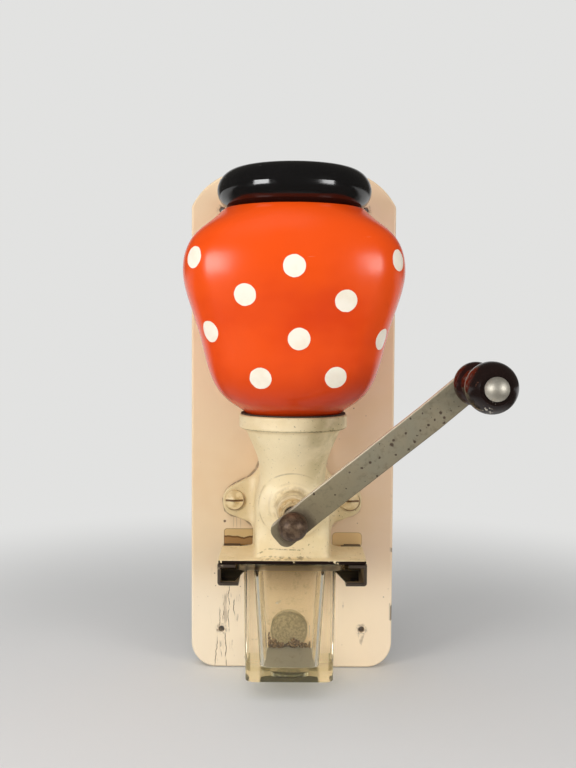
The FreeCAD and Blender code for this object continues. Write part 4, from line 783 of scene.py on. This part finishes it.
def makeRailJapan():
    values = railJapan
    material, shader, here = newMaterial("railJapan")
    x, y, z = axes(here)
    cloud = noise(here, 120.0, detail=5.0)
    worn = step(noise(moved(here, shift=(2, 2, 2)), 210.0, detail=5.0), 0.62, 0.66)
    worn = both(worn, between(step(z, *values["wornBelow"]), 0.45, 1.0),
                step(y, *values["wornFront"]))
    # Painted light: the channels' insides are paler, so they do not sink into their shade.
    inside = both(step(y, *values["behind"]), band(z, *values["insideHeight"]),
                  step(absolute(x), *values["insideFace"]))
    # The rivets' tops lie in the shelf's cream paint.
    base = layers(mix(cloud, values["dark"], values["light"]), (worn, values["worn"]),
                  (times(inside, 0.8), values["inside"]),
                  (step(z, *values["shelf"]), castingPaint["cream"]))
    rough = between(calc("MAXIMUM", cloud, inside), 0.26, 0.62)
    wire(shader, base, rough, minus(cloud, times(worn, 0.5)), 0.35, 0.0005)
    return material


knobLacquer = {
    "black": (0.012, 0.006, 0.005),
    "red": (0.018, 0.0050, 0.0040),
    "worn": (0.12, 0.050, 0.030),
    "chip": (0.42, 0.38, 0.32),
    "chipPlace": (0.0960, 0.0262),
    "chipRadius": (0.0042, 0.0030),
    "chipFront": (-0.2080, -0.2110),
    "toRed": (-0.187, -0.174),
    "shine": 0.38,
}


def makeKnobLacquer():
    values = knobLacquer
    material, shader, here = newMaterial("knobLacquer")
    y = axes(here)[1]
    grain = noise(moved(here, scale=(1, 0.08, 1)), 420.0, detail=5.0, warp=0.5)
    cloud = noise(here, 90.0)
    edge = plus(y, swing(cloud, 0.012))
    worn = step(noise(moved(here, shift=(4, 0, 1)), 240.0, detail=6.0), 0.66, 0.72)
    chip = both(step(fromLine(here, *values["chipPlace"]), *values["chipRadius"]),
                step(noise(here, 420.0, detail=3.0), 0.56, 0.62), step(y, *values["chipFront"]))
    base = layers(mix(step(edge, *values["toRed"]), values["black"], values["red"]),
                  (times(step(grain, 0.55, 0.8), 0.35), values["red"]),
                  (times(worn, 0.6), values["worn"]), (chip, values["chip"]))
    shader.inputs["Specular IOR Level"].default_value = values["shine"]
    wire(shader, base, between(cloud, 0.14, 0.26), plus(grain, cloud), 0.12, 0.0005)
    return material


# Materials of one clouded tone: noise is its scale, detail and roughness, border is
# where the noise goes from dark to light, bump is its strength and depth.
clouded = {
    "nutBronzing": {"dark": (0.062, 0.034, 0.019), "light": (0.18, 0.115, 0.068), "metal": 0.45,
                    "noise": (210.0, 6.0, 0.65), "border": (0.36, 0.66),
                    "rough": (0.36, 0.54), "bump": (0.30, 0.0006)},
    "gasketRubber": {"dark": (0.026, 0.014, 0.009), "light": (0.085, 0.050, 0.030), "metal": 0.0,
                     "noise": (320.0, 5.0, 0.55), "border": None,
                     "rough": (0.60, 0.85), "bump": (0.3, 0.0004)},
    "coffeeGrounds": {"dark": (0.070, 0.043, 0.018), "light": (0.26, 0.170, 0.080), "metal": 0.0,
                      "noise": (900.0, 4.0, 0.55), "border": (0.40, 0.62),
                      "rough": (0.70, 0.95), "bump": (0.6, 0.0006)},
}


def makeClouded(name):
    values = clouded[name]
    material, shader, here = newMaterial(name)
    cloud = noise(here, *values["noise"])
    amount = step(cloud, *values["border"]) if values["border"] else cloud
    shader.inputs["Metallic"].default_value = values["metal"]
    wire(shader, mix(amount, values["dark"], values["light"]), between(cloud, *values["rough"]),
         cloud, *values["bump"])
    return material


glass = {
    "clear": (0.935, 0.888, 0.785),
    "side": (0.74, 0.68, 0.50),
    "olive": (0.27, 0.25, 0.13),
    "corner": (0.88, 0.82, 0.58),
    "grime": (0.62, 0.57, 0.44),
    "rim": (0.42, 0.37, 0.26),
    "film": (0.42, 0.39, 0.30),
    "crumb": (0.10, 0.065, 0.035),
    "frosted": (0.66, 0.64, 0.50),
    "frostedDark": (0.32, 0.31, 0.22),
    "bend": 1.40,
    "shadowPass": 0.82,
    "disc": (-0.0018, -0.1450, 0.0126),
    "floorTop": -0.1562,
    "rimFoot": -0.0897,
    "centre": -0.0015,
    "backWall": (-0.0345, -0.0335),
    "innerBack": (-0.0295, -0.0305),
    "reflectionHalf": (0.0205, 0.0180),
    "footFront": (-0.0760, -0.0770),
    "filmHalf": (0.0210, 0.0200),
    "filmDepth": (-0.0715, -0.0315, 0.0005),
    "sideFace": (0.0280, 0.0288),
    "sideBelow": (-0.0900, -0.0915),
    "lineFront": (-0.0760, -0.0775),
    # What sticks to the back wall: start, end, and the radii of its edge.
    "crumbLine": ((-0.0104, -0.1256), (-0.0082, -0.1246), 0.0012, 0.0006),
    "streakLine": ((0.0126, -0.1490), (0.0130, -0.1418), 0.0010, 0.0004),
}


def makeGlass():
    values = glass
    material, shader, here = newMaterial("pressedGlass")
    x, y, z = axes(here)
    shader.inputs["IOR"].default_value = values["bend"]
    haze = noise(here, 160.0, detail=5.0)
    fine = noise(here, 700.0)
    floorTop, rimFoot = values["floorTop"], values["rimFoot"]
    # A plain frosted disc is moulded into the back wall.
    discX, discZ, radius = values["disc"]
    away = fromLine(here, discX, discZ)
    back = both(step(y, *values["backWall"]), step(z, floorTop - 0.0010, floorTop))
    disc = both(step(away, radius + 0.0005, radius - 0.0005), back)
    rim = both(band(away, radius - 0.0010, radius + 0.0004, 0.0003), back)
    # The foot is thick. A painted reflection of dark ground below: olive in the middle, paler at
    # its corners.
    aside = absolute(minus(x, values["centre"]))
    footReflection = mix(step(aside, *values["reflectionHalf"]), values["corner"], values["olive"])
    front = both(step(y, *values["footFront"]), step(z, floorTop + 0.0030, floorTop + 0.0020))
    foot = either(step(z, floorTop - 0.0006, floorTop - 0.0014), front)
    # A film of coffee dust covers the floor inside.
    inside = both(step(aside, *values["filmHalf"]), band(y, *values["filmDepth"]))
    film = both(band(z, floorTop - 0.0005, floorTop + 0.0006, 0.0002), inside)
    # A stuck crumb and a dark streak on the back wall.
    stuck = []
    for start, end, low, high in (values["crumbLine"], values["streakLine"]):
        stuck.append(step(fromSegment(x, z, start, end), low, high))
    crumbs = both(either(stuck[0], times(stuck[1], 0.8)), back, step(y, *values["innerBack"]))
    line = both(band(z, rimFoot - 0.0003, rimFoot + 0.0004, 0.0002), step(y, *values["lineFront"]))
    lip = step(z, rimFoot - 0.0002, rimFoot + 0.0004)
    dusty = both(step(haze, 0.56, 0.72), step(fine, 0.45, 0.60))
    sides = both(step(aside, *values["sideFace"]), step(z, *values["sideBelow"]))
    frosted = mix(step(fine, 0.40, 0.62), values["frosted"], values["frostedDark"])
    base = layers(mix(foot, values["clear"], footReflection), (sides, values["side"]),
                  (times(lip, 0.8), values["rim"]),
                  (times(either(dusty, line), 0.75), values["grime"]),
                  (disc, frosted), (rim, values["frostedDark"]),
                  (film, values["film"]), (crumbs, values["crumb"]))
    covered = either(film, crumbs)
    lineIn(between(covered, 1.0, 0.25), shader, "Transmission Weight")
    frost = either(times(disc, 0.60), times(dusty, 0.20), times(either(line, lip), 0.30), covered)
    # Light falls through the glass on what stands behind it.
    shadow = put("LightPath").outputs["Is Shadow Ray"]
    lineIn(minus(1.0, times(shadow, values["shadowPass"])), shader, "Alpha")
    ripple = noise(moved(here, scale=(1, 1, 0.35)), 85.0, detail=2.0)
    wire(shader, base, calc("MAXIMUM", frost, between(haze, 0.015, 0.05)), ripple, 0.18, 0.0008)
    return material


paints = {
    "board_paint": makeBoardPaint(),
    "casting_paint": makeCastingPaint(),
    "hopper_glaze": makeHopperGlaze(),
    "gasket": makeClouded("gasketRubber"),
    "lid_black": makeLidLacquer(),
    "bare_steel": makeMetal("innerSteel"),
    "crank_steel": makeCrankSteel(),
    "bush_brass": makeMetal("bushBrass"),
    "burr_iron": makeMetal("burrIron"),
    "nut_brown": makeClouded("nutBronzing"),
    "rail_brown": makeRailJapan(),
    "knob_wood": makeKnobLacquer(),
    "clear_glass": makeGlass(),
    "screw_paint": makeScrewPaint(),
}
paints["clamp_steel"] = paints["bare_steel"]
capNickel = makeMetal("capNickel")
tanPaint = makeTanPaint()
grounds = makeClouded("coffeeGrounds")
print("materials made:", len(paints))


def paint(piece, material):
    piece.data.materials.clear()
    piece.data.materials.append(material)


def dressNodes():
    for part in frame["record"]["subparts"]:
        paint(nodes[part["node"]], paints[part["material_slot"]])
    paint(nodes["knob_spindle"], capNickel)
    for name in ("front_bush", "thrust_washer", "adjusting_nut"):
        paint(nodes[name], tanPaint)


dressNodes()
print("solids dressed")


# Modelling help: one piece is active and chosen at a time.
def choose(piece):
    bpy.ops.object.select_all(action="DESELECT")
    piece.select_set(True)
    bpy.context.view_layer.objects.active = piece


def modify(piece, kind, **settings):
    choose(piece)
    modifier = piece.modifiers.new(kind.lower(), kind)
    for name, value in settings.items():
        setattr(modifier, name, value)
    bpy.ops.object.modifier_apply(modifier=modifier.name)


def smoothShade(piece, degrees=None):
    choose(piece)
    if degrees is None:
        bpy.ops.object.shade_smooth()
    else:
        bpy.ops.object.shade_smooth_by_angle(angle=radians(degrees))


# One edit-mode command on the whole of the active mesh.
def editAll(command, **settings):
    bpy.ops.object.mode_set(mode="EDIT")
    bpy.ops.mesh.select_all(action="SELECT")
    command(**settings)
    bpy.ops.object.mode_set(mode="OBJECT")


# A copy of a solid's mesh with its doubled vertices merged.
def copyOf(nodeName, pieceName):
    piece = bpy.data.objects.new(pieceName, nodes[nodeName].data.copy())
    bpy.context.scene.collection.objects.link(piece)
    choose(piece)
    if piece.data.has_custom_normals:
        bpy.ops.mesh.customdata_custom_splitnormals_clear()
    editAll(bpy.ops.mesh.remove_doubles, threshold=0.000005)
    return piece


# A copy with its flat faces joined and its edges rolled over.
def rolledCopy(nodeName, pieceName, values):
    piece = copyOf(nodeName, pieceName)
    editAll(bpy.ops.mesh.dissolve_limited, angle_limit=radians(values["flat"]))
    modify(piece, "BEVEL", width=values["edge"], segments=values["steps"],
           limit_method="ANGLE", angle_limit=radians(values["crease"]))
    smoothShade(piece, values["smooth"])
    return piece


# 0 at low, 1 at high and eased between them.
def eased(value, low, high):
    amount = min(1.0, max(0.0, (value - low) / (high - low)))
    return amount * amount * (3 - 2 * amount)


casting = {
    "voxel": 0.0010,
    "evenTurns": 3,
    "softTurns": 60,
    "factor": 0.5,
    # Each pair runs from where the solid stays crisp to where it is softened in full.
    "bossKept": (0.0135, 0.0175),
    "shelfKept": (-0.0822, -0.0775),
    "collarKept": (0.0005, -0.0060),
    "flangeKept": (0.0330, 0.0295),
    "noseBack": -0.0775,
    "boreKept": 0.0190,
}


# How far the paint has rounded the casting at a point: 0 leaves it crisp.
def softness(spot):
    values = casting
    fromShaft = (spot.x ** 2 + (spot.z - shaftHeight) ** 2) ** 0.5
    soft = eased(spot.z, *values["shelfKept"]) * eased(spot.z, *values["collarKept"])
    soft *= eased(abs(spot.x), *values["flangeKept"])
    if spot.y < values["noseBack"]:
        soft *= eased(fromShaft, *values["bossKept"])
    elif fromShaft < values["boreKept"]:
        soft = 0.0
    return soft


# The casting is one thick-painted lump, so the solid's creases are melted together.
def makeCastingBody():
    values = casting
    piece = copyOf("mill_housing", "castingBody")
    modify(piece, "REMESH", mode="VOXEL", voxel_size=values["voxel"])
    modify(piece, "SMOOTH", factor=values["factor"], iterations=values["evenTurns"])
    melted = piece.vertex_groups.new(name="melted")
    for vertex in piece.data.vertices:
        melted.add([vertex.index], softness(vertex.co), "REPLACE")
    modify(piece, "SMOOTH", factor=values["factor"], iterations=values["softTurns"],
           vertex_group="melted")
    piece.vertex_groups.clear()
    smoothShade(piece)
    paint(piece, paints["casting_paint"])
    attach(piece, "base")
    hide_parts("mill_housing")


crankBar = {"edge": 0.0006, "steps": 3, "flat": 0.5, "crease": 25.0, "smooth": 35.0}


# Flat bar steel with its edges rounded by years of hands.
def makeCrankBar():
    piece = rolledCopy("crank_arm", "crankBar", crankBar)
    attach(piece, "crank")
    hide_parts("crank_arm")


screwHeads = {"edge": 0.0003, "steps": 3, "flat": 0.5, "crease": 35.0, "smooth": 35.0}


# The two ear screws with their rims and slots rounded by paint.
def makeScrewHeads():
    piece = rolledCopy("housing_screws", "earScrewHeads", screwHeads)
    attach(piece, "base")
    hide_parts("housing_screws")


burrSpring = {"travel": 0.00075, "joint": "grind_travel", "smooth": 35.0}


# The spring inside, as a smoothly shaded copy that rides with the crank.
def makeSpring():
    values = burrSpring
    piece = copyOf("adjusting_spring", "burrSpring")
    smoothShade(piece, values["smooth"])
    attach(piece, "crank")
    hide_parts("adjusting_spring")
    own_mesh(piece)


dregs = {
    "seed": 5,
    # Heaps along the drawer's back edge: middle, spread, height and number of grains.
    "heaps": (
        (-0.0170, 0.0018, 0.0100, 60), (-0.0130, 0.0026, 0.0062, 70),
        (-0.0060, 0.0042, 0.0024, 44), (0.0016, 0.0026, 0.0062, 66),
        (0.0085, 0.0040, 0.0026, 44), (0.0142, 0.0011, 0.0042, 34),
    ),
    "across": (-0.0188, 0.0158),
    "wall": -0.0326,
    "floor": -0.1560,
    "first": (0.0, -0.0336, -0.1550),
    "grain": (0.00045, 0.00105),
    # How far the grains roll out at the floor, and the height at which none do.
    "spill": 0.0022,
    "spillTop": 0.009,
    "tumble": (900, 700),
    "voxel": 0.00025,
}


# Grains are heaped at random, then grown together into one lump.
def makeDregs():
    values = dregs
    left, right = values["across"]
    wall, floor = values["wall"], values["floor"]
    chance = random.Random(values["seed"])
    bpy.ops.object.select_all(action="DESELECT")
    bpy.ops.mesh.primitive_ico_sphere_add(subdivisions=1, radius=values["grain"][1],
                                          location=values["first"])
    piece = bpy.context.object
    piece.name = "coffeeDregs"
    bpy.ops.object.transform_apply(location=True, rotation=False, scale=False)
    bpy.ops.object.mode_set(mode="EDIT")
    for middle, spread, height, count in values["heaps"]:
        for grain in range(count):
            radius = chance.uniform(*values["grain"])
            x = min(right, max(left, chance.gauss(middle, spread)))
            fall = 1.0 - min(1.0, abs(x - middle) / (3 * spread))
            lift = height * fall * chance.random()
            spill = values["spill"] * (1.0 - lift / values["spillTop"])
            out = radius + spill * chance.random()
            bpy.ops.mesh.primitive_ico_sphere_add(
                subdivisions=1, radius=radius,
                rotation=(x * values["tumble"][0], lift * values["tumble"][1], 0),
                location=(x, wall - out, floor + radius + lift))
    bpy.ops.object.mode_set(mode="OBJECT")
    modify(piece, "REMESH", mode="VOXEL", voxel_size=values["voxel"])
    modify(piece, "SMOOTH", factor=0.5, iterations=1)
    # Only the heap is kept; a scrap that came loose from it goes.
    highest = max(piece.data.vertices, key=lambda corner: corner.co.z).index
    bpy.ops.object.mode_set(mode="EDIT")
    bpy.ops.mesh.select_all(action="DESELECT")
    bpy.ops.object.mode_set(mode="OBJECT")
    piece.data.vertices[highest].select = True
    bpy.ops.object.mode_set(mode="EDIT")
    bpy.ops.mesh.select_linked()
    bpy.ops.mesh.select_all(action="INVERT")
    bpy.ops.mesh.delete(type="VERT")
    bpy.ops.object.mode_set(mode="OBJECT")
    smoothShade(piece)
    paint(piece, grounds)
    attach(piece, "drawer")


makeCastingBody()
makeCrankBar()
makeScrewHeads()
makeSpring()
makeDregs()
print("pieces made")


# A plain pale floor; far out it fades into the backdrop's colour.
studio = {
    "backdrop": (0.76, 0.76, 0.75),
    "room": (0.075, 0.070, 0.062),
    "dim": (0.30, 0.27, 0.20),
    "paper": ((0.75, 0.75, 0.74), (0.77, 0.77, 0.76)),
    "air": 0.36,
    "floorLevel": -0.1765,
    "floorSize": 40.0,
    "fade": (0.20, 0.60),
    "glossyFade": (0.14, 0.40),
    "aim": (0.0, -0.08, 0.02),
    "lamps": {
        "leftWindow": {"azimuth": -48.0, "height": 9.0, "away": 1.15,
                       "wide": 0.46, "tall": 0.38, "power": 6.5},
        "rightWindow": {"azimuth": 48.0, "height": 9.0, "away": 1.15,
                        "wide": 0.38, "tall": 0.34, "power": 3.9},
        "ceiling": {"azimuth": -16.0, "height": 60.0, "away": 1.50,
                    "wide": 1.20, "tall": 1.20, "power": 9.0},
    },
}


def makeFloor():
    values = studio
    bpy.ops.object.select_all(action="DESELECT")
    bpy.ops.mesh.primitive_plane_add(size=values["floorSize"],
                                     location=(0, 0, values["floorLevel"]))
    floor = bpy.context.object
    floor.name = "studioFloor"
    material, shader, here = newMaterial("floorPaper")
    lineIn(mix(noise(here, 3.0, detail=2.0), *values["paper"]), shader, "Base Color")
    shader.inputs["Roughness"].default_value = 0.9
    away = put("VectorMath", {0: here}, operation="LENGTH").outputs["Value"]
    path = put("LightPath")
    seen = either(path.outputs["Is Camera Ray"], path.outputs["Is Transmission Ray"])
    glossy = path.outputs["Is Glossy Ray"]
    far = either(both(step(away, *values["fade"]), seen),
                 both(step(away, *values["glossyFade"]), glossy))
    ahead = both(glossy, step(axes(here)[1], 0.60, 0.20))
    tone = mix(ahead, values["backdrop"], values["room"])
    glow = put("Emission", {"Color": tone, "Strength": 1.0})
    blend = put("MixShader", {0: far, 1: shader.outputs["BSDF"], 2: glow.outputs[0]})
    tree.links.new(blend.outputs[0], tree.nodes["Material Output"].inputs["Surface"])
    floor.data.materials.append(material)


def makeLamps():
    for name, values in studio["lamps"].items():
        lamp = bpy.data.lights.new(name, "AREA")
        lamp.shape = "RECTANGLE"
        lamp.size, lamp.size_y = values["wide"], values["tall"]
        lamp.energy = values["power"]
        lampObject = bpy.data.objects.new(name, lamp)
        bpy.context.scene.collection.objects.link(lampObject)
        azimuth, height = radians(values["azimuth"]), radians(values["height"])
        way = Vector((sin(azimuth) * cos(height), -cos(azimuth) * cos(height), sin(height)))
        lampObject.location = Vector(studio["aim"]) + way * values["away"]
        lampObject.rotation_euler = way.to_track_quat("Z", "Y").to_euler()
        lampObject.visible_glossy = name != "ceiling"


# The backdrop stands behind the object; the room in front of it is dim in reflections.
def makeAir():
    values = studio
    world = bpy.data.worlds.new("studioAir")
    bpy.context.scene.world = world
    openTree(world)
    out = put("OutputWorld")
    y = axes(put("TexCoord").outputs["Generated"])[1]
    behind = mix(step(y, 0.80, 0.99), values["room"], values["backdrop"])
    through = mix(step(y, 0.10, 0.45), values["dim"], values["backdrop"])
    path = put("LightPath")
    colour = mix(path.outputs["Is Glossy Ray"], (values["air"],) * 3, behind)
    colour = mix(path.outputs["Is Transmission Ray"], colour, through)
    colour = mix(path.outputs["Is Camera Ray"], colour, values["backdrop"])
    shine = put("Background", {"Color": colour, "Strength": 1.0})
    tree.links.new(shine.outputs[0], out.inputs["Surface"])
    bpy.context.scene.view_settings.view_transform = "Standard"


makeFloor()
makeLamps()
makeAir()
print("studio ready")
